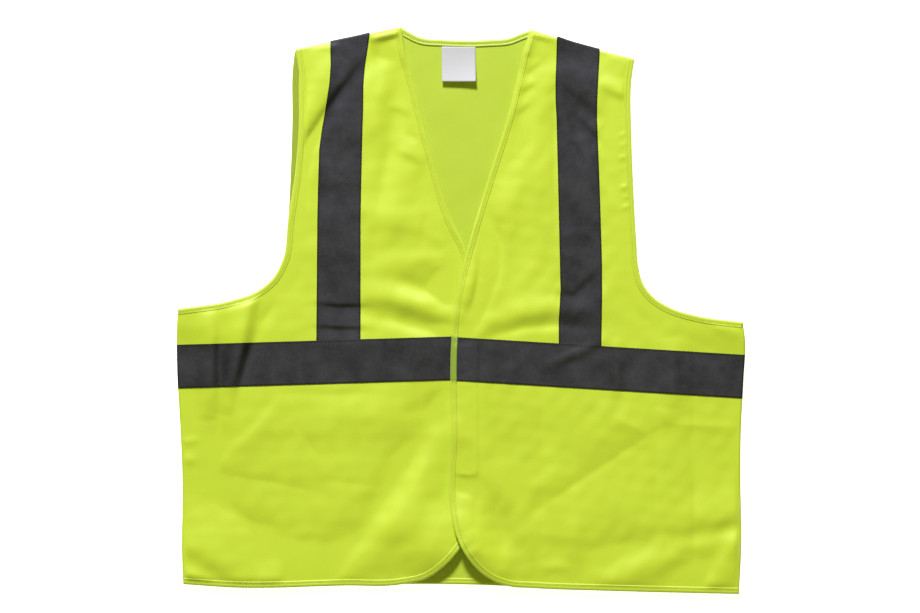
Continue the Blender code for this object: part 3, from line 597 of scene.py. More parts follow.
def over_height(points):
    """Underside of the wearer's left front, which laps over the other."""
    lowest, air, loose = front_rest(points, OPENING_LEFT, ARMHOLE_LEFT, SIDE_LEFT,
                                    SHOULDER_LEFT)
    folds = front_folds(points, FOLDS_LEFT, CREASES_LEFT, OPENING_LEFT, ARMHOLE_LEFT,
                        (11, 9, 12, 13))
    outside = np.where(in_under_front(points), 0.0, distance_to(points, OPENING_RIGHT))
    lapped = ease(outside, *LAP_EDGE)
    inside = 1.0
    for k in (0, 1):
        off = np.abs(points[:, k] - FASTENER_CENTRE[k])
        inside = inside * ease(off, FASTENER_HALF[k], FASTENER_HALF[k] + FASTENER_SLOPE)
    stack = under_height(points) + 3 * LAYER + PLAY + FASTENER_RISE * inside
    lowest = (1 - lapped) * lowest + lapped * stack
    lift = corner_lift(points, *OVER_CORNER)
    return settle(lowest, (1 - lapped) * air + lift + loose * folds)


def in_under_front(points):
    """Whether a point lies over the right front: to the wearer's right of its opening edge."""
    order = np.argsort(OPENING_RIGHT[:, 1])
    edge_x = np.interp(points[:, 1], OPENING_RIGHT[order, 1], OPENING_RIGHT[order, 0])
    return points[:, 0] < edge_x


print("height at the centre of the fastener",
      round(float(over_height(np.array((FASTENER_CENTRE,)))[0]) * 1000, 1), "mm")

# %% [markdown]
# ## The cloth
# Polyester warp knit, about 0.3 mm thick.  A fluorescent dye turns some blue light to yellow-green,
# so the cloth looks brighter than white paper would, and its shadows stay saturated.  The surface
# is matt with a faint sheen from the filaments.  Its ribs are 0.7 mm apart.

# %% One helper adds a node
def node(tree, kind, settings=None, links=None, **values):
    """Add one node: settings are its own properties, values its inputs, links what feeds it.

    An input is named with _ for a space, or by i and its number where names repeat.
    """
    new = tree.nodes.new(kind)
    for key, value in (settings or {}).items():
        setattr(new, key, value)
    for key, value in values.items():
        socket = int(key[1:]) if key[1:].isdigit() else key.replace("_", " ")
        new.inputs[socket].default_value = value
    for key, source in (links or {}).items():
        tree.links.new(source, new.inputs[key])
    return new


def new_material(name, colour, roughness, **more):
    """A Principled material; more holds plain values for its other sockets."""
    material = bpy.data.materials.new(name)
    material.use_nodes = True
    shader = material.node_tree.nodes["Principled BSDF"]
    shader.inputs["Base Color"].default_value = srgb(colour)
    shader.inputs["Roughness"].default_value = roughness
    for key, value in more.items():
        shader.inputs[key.replace("_", " ")].default_value = value
    return material, material.node_tree, shader


# %% Knitted polyester
RIB_SHOWN = 0.0016        # drawn coarser: 0.7 mm is too fine to show on the whole vest
STRIP_RIB_SHOWN = 0.0012  # the strips' knit is tighter, and drawn coarser too
STRIP_BUMP = 0.16
OVER_TAPE = "93b026"      # the strip's colour where dark tape shows through it


def knitted_polyester(name, colour, shade, rib=RIB_SHOWN, bump=0.10):
    """Two crossed waves make the knit; soft noise varies its colour as the dye does.

    The thin strip lets what lies beneath it show, so it is darker where over_tape is 1.
    """
    material, tree, shader = new_material(name, colour, 0.55, Sheen_Weight=0.3,
                                          Sheen_Roughness=0.5, Specular_IOR_Level=1.0)
    shader.inputs["Sheen Tint"].default_value = srgb("ffffff")
    place = node(tree, "ShaderNodeTexCoord").outputs["Object"]
    ribs = node(tree, "ShaderNodeTexWave", {"bands_direction": "X"}, {"Vector": place},
                Scale=2 * math.pi / (20 * rib) * 1.0, Distortion=1.2, Detail=2.0,
                Detail_Scale=3.0)
    rows = node(tree, "ShaderNodeTexWave", {"bands_direction": "Y"}, {"Vector": place},
                Scale=2 * math.pi / (20 * rib) * 0.8, Distortion=1.5, Detail=2.0,
                Detail_Scale=3.0)
    knit = node(tree, "ShaderNodeMath", {"operation": "ADD"},
                {0: ribs.outputs["Fac"], 1: rows.outputs["Fac"]})
    lift = node(tree, "ShaderNodeBump", None, {"Height": knit.outputs[0]},
                Strength=bump, Distance=0.0002)
    dye = node(tree, "ShaderNodeTexNoise", None, {"Vector": place},
               Scale=26.0, Detail=5.0, Roughness=0.6)
    mottle = node(tree, "ShaderNodeTexNoise", None, {"Vector": place},
                  Scale=900.0, Detail=2.0)
    both = node(tree, "ShaderNodeMath", {"operation": "MULTIPLY_ADD"},
                {0: mottle.outputs["Fac"], 2: dye.outputs["Fac"]}, i1=0.5)
    ramp = node(tree, "ShaderNodeMapRange", None, {"Value": both.outputs[0]}, i1=0.45, i2=1.05)
    mix = node(tree, "ShaderNodeMix", {"data_type": "RGBA"}, {"Factor": ramp.outputs["Result"]})
    mix.inputs["A"].default_value = srgb(shade)
    mix.inputs["B"].default_value = srgb(colour)
    tape = node(tree, "ShaderNodeAttribute", {"attribute_name": "over_tape"})
    thin = node(tree, "ShaderNodeMix", {"data_type": "RGBA"}, {"Factor": tape.outputs["Fac"]})
    tree.links.new(mix.outputs["Result"], thin.inputs["A"])
    thin.inputs["B"].default_value = srgb(OVER_TAPE)
    tree.links.new(thin.outputs["Result"], shader.inputs["Base Color"])
    tree.links.new(lift.outputs["Normal"], shader.inputs["Normal"])
    return material


FABRIC = knitted_polyester("fluorescent polyester knit, face", "d6ec24", "d0e61e")
FABRIC_BACK = knitted_polyester("fluorescent polyester knit, reverse", "c8de28", "c2d921")
BINDING = knitted_polyester("fluorescent polyester binding", "d3e72c", "cce024",
                            STRIP_RIB_SHOWN, STRIP_BUMP)
BINDING_INSIDE = knitted_polyester("fluorescent polyester binding, inside the neck", "c3da30",
                                   "bcd32a", STRIP_RIB_SHOWN, STRIP_BUMP)
# The back's armhole strips get a darker colour: painted shade for the shadowed sliver that shows
# past each front's raised edge.
BINDING_PAINTED_SHADE = knitted_polyester("fluorescent polyester binding, back armholes, painted shade", "a6b80c",
                                 "9aac08", STRIP_RIB_SHOWN, STRIP_BUMP)
print("cloth", [material.name for material in bpy.data.materials])

# %% [markdown]
# The tape is a dark grey polyester coated with glass beads 0.05 mm across.  Light sent straight
# back by the beads is what makes it flash; in soft side light it is a plain dark grey with a
# slight satin sheen and a fine grain.

# %% Reflective tape, thread, fastener and label
# Painted shade: the tape's colour is darkened by |normal z| to this power, so tilted tape looks
# dark.
TILT_SHADE_POWER = 8.0
TAPE_EDGE_SHADE = "121114"      # painted shade along the tape's edges, for the groove pressed in by its stitches


def beaded_tape(name, colour, light):
    """Glass-bead coating: fine grain, faint cloudy wear, and darker where the tape is tilted.

    The colour is times |normal z| to the power set above: painted shade, standing in for the beads,
    which send light back best square on.
    """
    material, tree, shader = new_material(name, colour, 0.50, Specular_IOR_Level=0.3)
    coordinates = node(tree, "ShaderNodeTexCoord")
    place = coordinates.outputs["Object"]
    wear = node(tree, "ShaderNodeTexNoise", None, {"Vector": place},
                Scale=38.0, Detail=6.0, Roughness=0.65)
    beads = node(tree, "ShaderNodeTexNoise", None, {"Vector": place}, Scale=1100.0, Detail=2.0)
    both = node(tree, "ShaderNodeMath", {"operation": "MULTIPLY_ADD"},
                {0: beads.outputs["Fac"], 2: wear.outputs["Fac"]}, i1=0.6)
    ramp = node(tree, "ShaderNodeMapRange", None, {"Value": both.outputs[0]}, i1=0.6, i2=1.0)
    mix = node(tree, "ShaderNodeMix", {"data_type": "RGBA"}, {"Factor": ramp.outputs["Result"]})
    mix.inputs["A"].default_value = srgb(colour)
    mix.inputs["B"].default_value = srgb(light)
    # painted shade: darker as the tape tilts away from level
    up = node(tree, "ShaderNodeSeparateXYZ", None, {"Vector": coordinates.outputs["Normal"]})
    facing = node(tree, "ShaderNodeMath", {"operation": "ABSOLUTE"}, {0: up.outputs["Z"]})
    tilt_shade = node(tree, "ShaderNodeMath", {"operation": "POWER"}, {0: facing.outputs[0]},
               i1=TILT_SHADE_POWER)
    tilted = node(tree, "ShaderNodeMix", {"data_type": "RGBA", "blend_type": "MULTIPLY"},
                  {"A": mix.outputs["Result"], "B": tilt_shade.outputs[0]}, Factor=1.0)
    # painted shade along the tape's two long edges
    shade_mark = node(tree, "ShaderNodeAttribute", {"attribute_name": "painted_edge_shade"})
    sewn = node(tree, "ShaderNodeMix", {"data_type": "RGBA"},
                {"Factor": shade_mark.outputs["Fac"], "A": tilted.outputs["Result"]})
    sewn.inputs["B"].default_value = srgb(TAPE_EDGE_SHADE)
    tree.links.new(sewn.outputs["Result"], shader.inputs["Base Color"])
    grain = node(tree, "ShaderNodeBump", None, {"Height": beads.outputs["Fac"]},
                 Strength=0.25, Distance=0.0001)
    tree.links.new(grain.outputs["Normal"], shader.inputs["Normal"])
    return material


def fine_grain(name, colour, light, roughness, scale):
    """A plain material with a fine noise in its colour and its height."""
    material, tree, shader = new_material(name, colour, roughness, Specular_IOR_Level=0.3)
    place = node(tree, "ShaderNodeTexCoord").outputs["Object"]
    noise = node(tree, "ShaderNodeTexNoise", None, {"Vector": place}, Scale=scale, Detail=3.0)
    mix = node(tree, "ShaderNodeMix", {"data_type": "RGBA"}, {"Factor": noise.outputs["Fac"]})
    mix.inputs["A"].default_value = srgb(colour)
    mix.inputs["B"].default_value = srgb(light)
    tree.links.new(mix.outputs["Result"], shader.inputs["Base Color"])
    bump = node(tree, "ShaderNodeBump", None, {"Height": noise.outputs["Fac"]},
                Strength=0.4, Distance=0.0003)
    tree.links.new(bump.outputs["Normal"], shader.inputs["Normal"])
    return material


TAPE = beaded_tape("glass-bead reflective tape", "2a292e", "424148")
THREAD = fine_grain("polyester thread, yellow", "c6da3a", "d8ec50", 0.55, 2500.0)
TAPE_THREAD = fine_grain("polyester thread, grey", "151413", "2c2a22", 0.55, 2500.0)
NAP = fine_grain("nylon hook and loop", "c2d83c", "d4e850", 0.9, 1800.0)
RIBBON = fine_grain("woven polyester ribbon, white", "cdcacf", "d6d3d8", 0.6, 1300.0)
print("materials", len(bpy.data.materials))

# %% [markdown]
# ## Sheets from patches
# A panel has too many corners for one grid, so it is two: the body, from the armhole across to
# the opening, and the side, below the armhole.  Each is a Coons patch: a grid whose four edges
# are given lines, with the inside blended from them.  They share an edge and are welded there.

# %% Patches
def patch(left, right, top, bottom):
    """Coons patch.  P(u, v) = the blend of left and right by u, plus the blend of top and bottom
    by v, less the blend of the four corners, which both of those hold."""
    v = np.linspace(0.0, 1.0, len(left))[:, None, None]
    u = np.linspace(0.0, 1.0, len(top))[None, :, None]
    across = (1 - u) * left[:, None] + u * right[:, None]
    down = (1 - v) * top[None] + v * bottom[None]
    corners = ((1 - u) * (1 - v) * left[0] + u * (1 - v) * right[0]
               + (1 - u) * v * left[-1] + u * v * right[-1])
    return across + down - corners


def grid_faces(rows, columns, first=0):
    """Quads of a grid whose points are stored row by row, top row first, facing up."""
    index = first + np.arange(rows * columns).reshape(rows, columns)
    return np.stack((index[:-1, :-1], index[1:, :-1], index[1:, 1:], index[:-1, 1:]),
                    axis=-1).reshape(-1, 4)


def new_piece(name, points, faces, material, wall=0.0):
    """A mesh from an array of points; wall gives it a thickness with a Solidify modifier."""
    mesh = bpy.data.meshes.new(name)
    mesh.from_pydata(points.tolist(), [], faces if isinstance(faces, list) else faces.tolist())
    mesh.materials.append(material)
    mesh.shade_smooth()
    piece = bpy.data.objects.new(name, mesh)
    bpy.context.scene.collection.objects.link(piece)
    if wall:
        shell = piece.modifiers.new("wall", "SOLIDIFY")
        shell.thickness = wall
        shell.offset = 1.0
    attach(piece, "root")
    return piece


def weld(piece, distance=1e-5):
    """Join points that coincide, and turn all faces the same way, upwards."""
    work = bmesh.new()
    work.from_mesh(piece.data)
    bmesh.ops.remove_doubles(work, verts=work.verts[:], dist=distance)
    bmesh.ops.recalc_face_normals(work, faces=work.faces[:])
    if sum(face.normal.z * face.calc_area() for face in work.faces) < 0:
        bmesh.ops.reverse_faces(work, faces=work.faces[:])
    work.to_mesh(piece.data)
    work.free()
    return piece


def cut_line(line, start, end, count):
    """The stretch of a line between two shares of its length, with count even points."""
    at = along(line)
    place = np.linspace(start, end, count) * at[-1]
    return np.column_stack([np.interp(place, at, line[:, k]) for k in range(2)])


def share_at(line, axis, value):
    """Share of a line's length at which x (axis 0) or y (axis 1) first passes a value."""
    beyond = np.nonzero(np.diff(np.sign(line[:, axis] - value)))[0][0]
    return along(line)[beyond] / along(line)[-1]


# %% The pattern of one front, as two patches
CLOTH_SEEN = 0.0006       # the sheet's thickness as made here
CLOTH_LIFT = (CLOTH - CLOTH_SEEN) / 2      # keeps it in the middle of the solid's wall
ROWS_ABOVE = 110          # rows of the body beside the armhole
ROWS_BELOW = 132          # rows from there to the hem
COLUMNS_BODY = 96
COLUMNS_SIDE = 52
CUT_IN = 0.0013           # a cut edge stops this far inside the finished, bound edge
BEND = 0.635              # share of an armhole at which it turns outwards
CORNER_Y = -0.284         # middle of a front's round corner
CROSSING_Y = 0.06         # the openings cross near here, and the grid's rows are level
FLANK_FOOT = 1.02         # x of the flank's foot over x of the bend


def front_pattern(opening, armhole, side, shoulder, hand):
    """Flat points and faces of a front.  hand is 1 where the cloth is right of the opening."""
    opening = inset(opening, CUT_IN, hand)
    armhole = inset(armhole, CUT_IN, -hand)
    elbow = cut_line(armhole, BEND, BEND, 1)[0]
    turn = share_at(opening, 1, CORNER_Y)
    level = share_at(opening, 1, 0.5 * (elbow[1] + CROSSING_Y))
    hem_split = 1.0 - share_at(opening[::-1], 0, elbow[0] * FLANK_FOOT)
    foot = cut_line(opening, hem_split, hem_split, 1)[0]
    seam = np.linspace(0, 1, ROWS_BELOW)[:, None] * (foot - elbow) + elbow

    left = np.vstack((cut_line(armhole, 0.0, BEND, ROWS_ABOVE)[:-1], seam))
    right = np.vstack((cut_line(opening, 0.0, level, ROWS_ABOVE)[:-1],
                       cut_line(opening, level, turn, ROWS_BELOW)))
    top = resample(np.vstack((left[:1], shoulder[12:-12], right[:1])), COLUMNS_BODY)
    bottom = cut_line(opening, hem_split, turn, COLUMNS_BODY)
    body = patch(left, right, top, bottom)

    outer = resample(side, ROWS_BELOW)
    outer[0] = armhole[-1]
    outer[-1] = opening[-1]
    upper = cut_line(armhole, 1.0, BEND, COLUMNS_SIDE)
    lower = cut_line(opening, 1.0, hem_split, COLUMNS_SIDE)
    flank = patch(outer, seam, upper, lower)
    points = np.vstack((body.reshape(-1, 2), flank.reshape(-1, 2)))
    faces = np.vstack((grid_faces(*body.shape[:2]),
                       grid_faces(*flank.shape[:2], first=body.shape[0] * body.shape[1])))
    return points, faces


def lay_front(name, pattern, height, node_name):
    """Raise a flat pattern to its height and give it a wall."""
    points, faces = pattern
    z = height(points) + CLOTH_LIFT
    piece = new_piece(name, np.column_stack((points, z)), faces, FABRIC,
                      CLOTH_SEEN)
    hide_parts(node_name)
    return weld(piece)


front_right = lay_front("front_right", front_pattern(OPENING_RIGHT, ARMHOLE_RIGHT, SIDE_RIGHT,
                                                     SHOULDER_RIGHT, -1),
                        under_height, "front_right_panel")
front_left = lay_front("front_left", front_pattern(OPENING_LEFT, ARMHOLE_LEFT, SIDE_LEFT,
                                                   SHOULDER_LEFT, 1),
                       over_height, "front_left_panel")
print("fronts", len(front_right.data.polygons), len(front_left.data.polygons), "quads")

# %% [markdown]
# ## The back
# One piece, inside up.  Only the part in the neck and a sliver at the hem show, but it is whole:
# a body between the armholes and a flank below each, in the reverse side of the same cloth.

# %% The back
BACK_ROWS_ABOVE, BACK_ROWS_BELOW = 60, 66
BACK_COLUMNS, BACK_COLUMNS_SIDE = 110, 30
BACK_SWELL = 0.00012
BACK_SWELL_LENGTHS = (0.03, 0.10)


def back_pattern():
    """Flat points and faces of the back: a body patch and two flanks."""
    neck = inset(NECK, CUT_IN, -1)
    hem = inset(HEM_BACK, CUT_IN, 1)
    right = inset(ARMHOLE_RIGHT_BACK, CUT_IN, 1)
    left = inset(ARMHOLE_LEFT, CUT_IN, -1)
    sides, seams, feet = [], [], []
    for armhole in (right, left):
        elbow = cut_line(armhole, BEND, BEND, 1)[0]
        share = share_at(hem, 0, elbow[0] * FLANK_FOOT)
        foot = cut_line(hem, share, share, 1)[0]
        seam = np.linspace(0, 1, BACK_ROWS_BELOW)[:, None] * (foot - elbow) + elbow
        sides.append(np.vstack((cut_line(armhole, 0.0, BEND, BACK_ROWS_ABOVE)[:-1], seam)))
        seams.append(seam)
        feet.append(share)
    top = np.vstack((sides[0][:1], SHOULDER_RIGHT[12:-8], neck, SHOULDER_LEFT[::-1][8:-12],
                     sides[1][:1]))
    grids = [patch(sides[0], sides[1], resample(top, BACK_COLUMNS),
                   cut_line(hem, feet[0], feet[1], BACK_COLUMNS))]
    for k, (armhole, side, end) in enumerate(((right, SIDE_RIGHT, 0.0), (left, SIDE_LEFT, 1.0))):
        outer = resample(side, BACK_ROWS_BELOW)
        outer[0], outer[-1] = armhole[-1], hem[0 if k == 0 else -1]
        upper = cut_line(armhole, 1.0, BEND, BACK_COLUMNS_SIDE)
        lower = cut_line(hem, end, feet[k], BACK_COLUMNS_SIDE)
        grids.append(patch(outer, seams[k], upper, lower))
    points = np.vstack([grid.reshape(-1, 2) for grid in grids])
    firsts = np.cumsum([0] + [grid.shape[0] * grid.shape[1] for grid in grids])
    faces = np.vstack([grid_faces(*grid.shape[:2], first=first)
                       for grid, first in zip(grids, firsts)])
    return points, faces


def back_height(points):
    """The back lies flat, with a swell too slight to lift it off its tapes."""
    return np.full(len(points), BACK_Z) + BACK_SWELL * ripple(points, 21, *BACK_SWELL_LENGTHS)


flat_back, back_faces = back_pattern()
back = new_piece("back", np.column_stack((flat_back, back_height(flat_back) + CLOTH_LIFT)),
                 back_faces, FABRIC_BACK, CLOTH_SEEN)
weld(back)
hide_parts("back_panel")
print("back", len(back.data.polygons), "quads")

# %% [markdown]
# ## Bindings
# A strip 30 mm wide is folded round the edge with its own edges turned in, and sewn through with
# one row of stitches.  Its profile is carried along the edge: an under leg, a round fold just
# outside the cut edge, and a top leg with a shallow groove where the stitches pull it down.

# %% A folded strip along an edge
BINDING_WIDTH = 0.0076
STITCH_IN = 0.0047        # the row of stitches, in from the finished edge
BINDING_WALL = 0.0004
BINDING_STEP = 0.0022
TAPE_WIDTH = 0.0508       # two inches, sold as 50 mm
BANDS = {"right": (-0.0300, 0.0303), "left": (-0.0314, -0.0616), "back": (-0.0462, -0.0176)}
BAND_RISE = 0.0007        # how far the band's end, tucked under the binding, lifts it
OVER_BAND = np.array((-0.0006, 0.0022))      # near and far: the lift fades past the band's edge
FOLD_DEPTH = 0.0018       # how far in the round fold begins
UNDER_LEG = -0.0009       # heights over the sheet's underside
TOP_LEG = 0.00125
CROWN = 0.00015           # swell of the top leg between the fold and the stitches
GROOVE = 0.00022          # and the dip that the stitches pull into it
GROOVE_HALF = 0.0007
EDGE_SWELL = 0.00055      # the top leg's own edge stands up inside the stitches
EDGE_DIP = 0.00055        # and turns down into the cloth at the very end
STANDING_DIP = 0.00030    # less so where it stands up
LEG_POINTS = 12
NECK_STAND = 0.0006       # the neck's strip stands up along its inner edge


def binding_profile(stand):
    """Columns: distance in from the finished edge, height over the sheet's underside.

    The row of stitches pulls the top leg down.  Inside it the leg's own edge stands up a little,
    and then meets the cloth.
    """
    leg = np.linspace(BINDING_WIDTH, FOLD_DEPTH, LEG_POINTS)
    turn = np.linspace(-np.pi / 2, np.pi / 2, 9)[1:-1]
    middle, half = (TOP_LEG + UNDER_LEG) / 2, (TOP_LEG - UNDER_LEG) / 2
    fold = np.column_stack((FOLD_DEPTH * (1 - np.cos(turn)), middle + half * np.sin(turn)))
    into = leg[::-1]
    groove = np.exp(-((into - STITCH_IN) / GROOVE_HALF) ** 2)
    crown = np.sin(np.pi * np.clip(into / STITCH_IN, 0, 1))
    edge = np.clip((into - STITCH_IN) / (BINDING_WIDTH - STITCH_IN), 0, 1)
    top = TOP_LEG + CROWN * crown - GROOVE * groove + EDGE_SWELL * edge * (1 - edge)
    top += stand * edge - (STANDING_DIP if stand else EDGE_DIP) * edge ** 4
    return np.vstack((np.column_stack((leg, np.full(LEG_POINTS, UNDER_LEG))), fold,
                      np.column_stack((into, top))))


def band_edge(side, x):
    """y of a band's upper edge at x: a straight line."""
    start, slope = BANDS[side]
    return start + slope * x


def lay_binding(name, line, hand, height, node_name, stand, over_band):
    """Carry the profile along the edge: P(u, v) = edge(u) + in(v) * normal, z = cloth + rise(v)."""
    line = resample(line, int(along(line)[-1] / BINDING_STEP))
    profile = binding_profile(stand)
    flat = np.stack([inset(line, into, hand) for into, _ in profile])
    on_cloth = np.stack([inset(line, max(into, CUT_IN), hand) for into, _ in profile])
    z = height(on_cloth.reshape(-1, 2)).reshape(flat.shape[:2]) + profile[:, 1:]
    dark = 0.0 * z
    if over_band:
        below = band_edge("left", flat[..., 0]) - flat[..., 1]
        dark = ease(np.abs(below - TAPE_WIDTH / 2), *(TAPE_WIDTH / 2 + OVER_BAND))
        z[-LEG_POINTS:] += BAND_RISE * dark[-LEG_POINTS:]
    points = np.concatenate((flat, z[..., None]), axis=-1).reshape(-1, 3)
    faces = grid_faces(len(profile), len(line))
    if hand < 0:
        faces = faces[:, ::-1]
    material = BINDING
    if stand:
        material = BINDING_INSIDE
    # the back's armhole strips take the darker colour of painted shade
    elif "armhole" in name and "back" in name:
        material = BINDING_PAINTED_SHADE
    piece = new_piece(name, points, faces, material, BINDING_WALL)
    shown = piece.data.attributes.new("over_tape", "FLOAT", "POINT")
    shown.data.foreach_set("value", dark.ravel().astype(np.float32))
    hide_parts(node_name)
    return piece


EDGES = (("front_right", OPENING_RIGHT, -1, under_height, "binding_front_right"),
         ("front_left", OPENING_LEFT, 1, over_height, "binding_front_left"),
         ("armhole_right_front", ARMHOLE_RIGHT, 1, under_height, "binding_armhole_right_front"),
         ("armhole_left_front", ARMHOLE_LEFT, -1, over_height, "binding_armhole_left_front"),
         ("armhole_right_back", ARMHOLE_RIGHT_BACK, 1, back_height,
          "binding_armhole_right_back"),
         ("armhole_left_back", ARMHOLE_LEFT, -1, back_height, "binding_armhole_left_back"),
         ("neck", NECK, -1, back_height, "binding_neck_back"),
         ("hem_back", HEM_BACK, 1, back_height, "binding_hem_back"))
for place, line, hand, height, node_name in EDGES:
    lay_binding("bound_" + place, line, hand, height, node_name,
                                  stand=NECK_STAND if place == "neck" else 0.0,
                                  over_band=place == "front_left")

# %% [markdown]
# ## Reflective tape
# Each front has a level band from its side seam to its opening.  The braces are sewn on first:
# each runs from under the band, up the front, over the shoulder and down the back.

# %% Bands
BRACE_LIFT = 0.0010       # a brace's underside over the sheet's underside
BAND_LIFT = 0.0013        # the band lies over the brace's end
TAPE_WALL = 0.00025
BAND_ROWS, BAND_COLUMNS = 22, 150
BAND_END_UNDER = -0.0090  # x at which the right band ends, under the lap
UNDER_STRIP = 0.0016      # how far the left band's end runs under the strip
EDGE_SHADE_SHARES = (0.470, 0.494)      # of the width, from its middle: painted shade past these


def even_with_edges(count):
    """Even steps from 0 to 1, with two thin steps at each end: the edge, and the edge of the
    painted shade beside it.
    """
    return np.concatenate(((0.0, 0.006), np.linspace(0.030, 0.970, count - 4), (0.994, 1.0)))


def mark_edge_shade(piece, share):
    """Mark painted shade along a tape's two long edges in an attribute: 1 at the edges, 0 from 1.5
    mm in.
    """
    shade_mark = 1.0 - ease(np.abs(share - 0.5), *EDGE_SHADE_SHARES)
    mark = piece.data.attributes.new("painted_edge_shade", "FLOAT", "POINT")
    mark.data.foreach_set("value", shade_mark.ravel().astype(np.float32))


def lay_band(name, side, edge_line, end_x, height, lift, node_name):
    """P(u, v): u runs from the side seam to end_x, v down from the upper edge by TAPE_WIDTH."""
    v = even_with_edges(BAND_ROWS)[:, None]
    u = np.linspace(0.0, 1.0, BAND_COLUMNS)[None, :]
    order = np.argsort(edge_line[:, 1])
    level = band_edge(side, edge_line[:, 0].mean()) - v * TAPE_WIDTH
    seam_x = np.interp(level, edge_line[order, 1], edge_line[order, 0])
    if isinstance(end_x, np.ndarray):
        end_order = np.argsort(end_x[:, 1])
        end_x = np.interp(band_edge(side, end_x[:, 0].mean()) - v * TAPE_WIDTH,
                          end_x[end_order, 1], end_x[end_order, 0])
    x = seam_x + u * (end_x - seam_x)
    y = band_edge(side, x) - v * TAPE_WIDTH
    flat = np.stack((x, y), axis=-1).reshape(-1, 2)
    z = height(flat) + lift
    faces = grid_faces(BAND_ROWS, BAND_COLUMNS)
    if np.mean(end_x) < np.mean(seam_x):
        faces = faces[:, ::-1]
    piece = new_piece(name, np.column_stack((flat, z)), faces, TAPE,
                      TAPE_WALL)
    mark_edge_shade(piece, np.broadcast_to(v, x.shape))
    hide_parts(node_name)
    return piece


band_right = lay_band("band_front_right", "right", SIDE_RIGHT, BAND_END_UNDER, under_height,
                      BAND_LIFT, "tape_band_front_right")
band_left = lay_band("band_front_left", "left", SIDE_LEFT,
                     inset(OPENING_LEFT, BINDING_WIDTH - UNDER_STRIP, 1), over_height, BAND_LIFT,
                     "tape_band_front_left")
band_back = lay_band("band_back", "back", SIDE_RIGHT, SIDE_LEFT,
                     lambda flat: np.zeros(len(flat)), 0.0, "tape_band_back")
print("bands", len(band_right.data.polygons), len(band_left.data.polygons))

# %% Braces: y, x of the outer edge, x of the inner edge
BRACE_RIGHT = np.array(((0.3300, -0.1525, -0.1055), (0.3050, -0.1527, -0.1093),
                        (0.2860, -0.1522, -0.1123), (0.2640, -0.1537, -0.1140),
                        (0.2350, -0.1584, -0.1143), (0.2110, -0.1626, -0.1151),
                        (0.1880, -0.1656, -0.1157), (0.1410, -0.1671, -0.1167),
                        (0.1060, -0.1678, -0.1173), (-0.0450, -0.1691, -0.1174)))
BRACE_LEFT = np.array(((0.3300, 0.1625, 0.1122), (0.2930, 0.1617, 0.1113),
                       (0.2700, 0.1602, 0.1103), (0.2460, 0.1590, 0.1104),
                       (0.2230, 0.1589, 0.1116), (0.1640, 0.1611, 0.1130),
                       (0.1290, 0.1624, 0.1138), (0.0590, 0.1645, 0.1154),
                       (0.0240, 0.1647, 0.1162), (-0.0110, 0.1643, 0.1141),
                       (-0.0500, 0.1637, 0.1141)))
TUCK = 0.007              # the brace's end runs this far under the band
FOOT_Y, BACK_FOOT_Y, TOP_Y = -0.04, -0.05, 0.315      # y at which x of an end is read
BRACE_UNDER = 0.0006      # height of its part on the back
FRONT_ROWS, TURN_ROWS, BACK_ROWS, ACROSS = 170, 9, 50, 22


def brace_x(table, y, share):
    """x across a brace, from its outer edge (share 0) to its inner edge (share 1)."""
    order = np.argsort(table[:, 0])
    outer = np.interp(y, table[order, 0], table[order, 1])
    inner = np.interp(y, table[order, 0], table[order, 2])
    return outer + share * (inner - outer)


def lay_brace(name, table, side, shoulder, height, node_name):
    """P(u, v): up the front on the cloth, a half turn round the shoulder, and down the back."""
    share = even_with_edges(ACROSS)[None, :]
    order = np.argsort(shoulder[:, 0])
    top_x = brace_x(table, TOP_Y, share)
    top_y = np.interp(top_x, shoulder[order, 0], shoulder[order, 1])
    foot_y = band_edge(side, brace_x(table, FOOT_Y, share)) - TUCK
    rise = np.linspace(0.0, 1.0, FRONT_ROWS)[:, None]
    y = foot_y + rise * (top_y - foot_y)
    x = brace_x(table, y, share)
    front = np.stack((x, y), axis=-1)
    z = height(front.reshape(-1, 2)).reshape(x.shape) + BRACE_LIFT

    way = front[-1, -1] - front[-1, 0]
    out = np.array((-way[1], way[0])) / np.hypot(*way) * (1.0 if way[0] > 0 else -1.0)
    angle = np.linspace(0.0, np.pi, TURN_ROWS + 1)[1:, None]
    radius = (z[-1:] - BRACE_UNDER) / 2
    turn = front[-1][None] + (np.sin(angle) * radius)[..., None] * out
    turn_z = BRACE_UNDER + radius * (1 + np.cos(angle))

    fall = np.linspace(0.0, 1.0, BACK_ROWS + 1)[1:, None]
    end_y = band_edge("back", x[0:1]) - TUCK
    back_y = front[-1, :, 1][None] + fall * (end_y - front[-1, :, 1][None])
    back_foot_x = brace_x(table, BACK_FOOT_Y, share)
    back_x = front[-1, :, 0][None] + fall * (back_foot_x - front[-1, :, 0][None])
    flat = np.vstack((front, turn, np.stack((back_x, back_y), axis=-1)))
    height_z = np.vstack((z, turn_z, np.full(back_x.shape, BRACE_UNDER)))
    points = np.concatenate((flat, height_z[..., None]), axis=-1).reshape(-1, 3)
    faces = grid_faces(flat.shape[0], ACROSS)
    if way[0] > 0:
        faces = faces[:, ::-1]
    piece = new_piece(name, points, faces, TAPE, TAPE_WALL)
    mark_edge_shade(piece, np.broadcast_to(share, flat.shape[:2]))
    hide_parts(node_name)
    return piece


brace_right = lay_brace("brace_right", BRACE_RIGHT, "right", SHOULDER_RIGHT, under_height,
                        "tape_brace_right")
brace_left = lay_brace("brace_left", BRACE_LEFT, "left", SHOULDER_LEFT, over_height,
                       "tape_brace_left")
print("braces", len(brace_right.data.polygons), len(brace_left.data.polygons))

# %% [markdown]
# ## Fastener and label
# The loop strip is sewn on top of the right front and the hook strip under the left one, and
# they are pressed together, so neither shows.  The label is a plain ribbon sewn in under the neck
# binding; its free end has curled up a little.

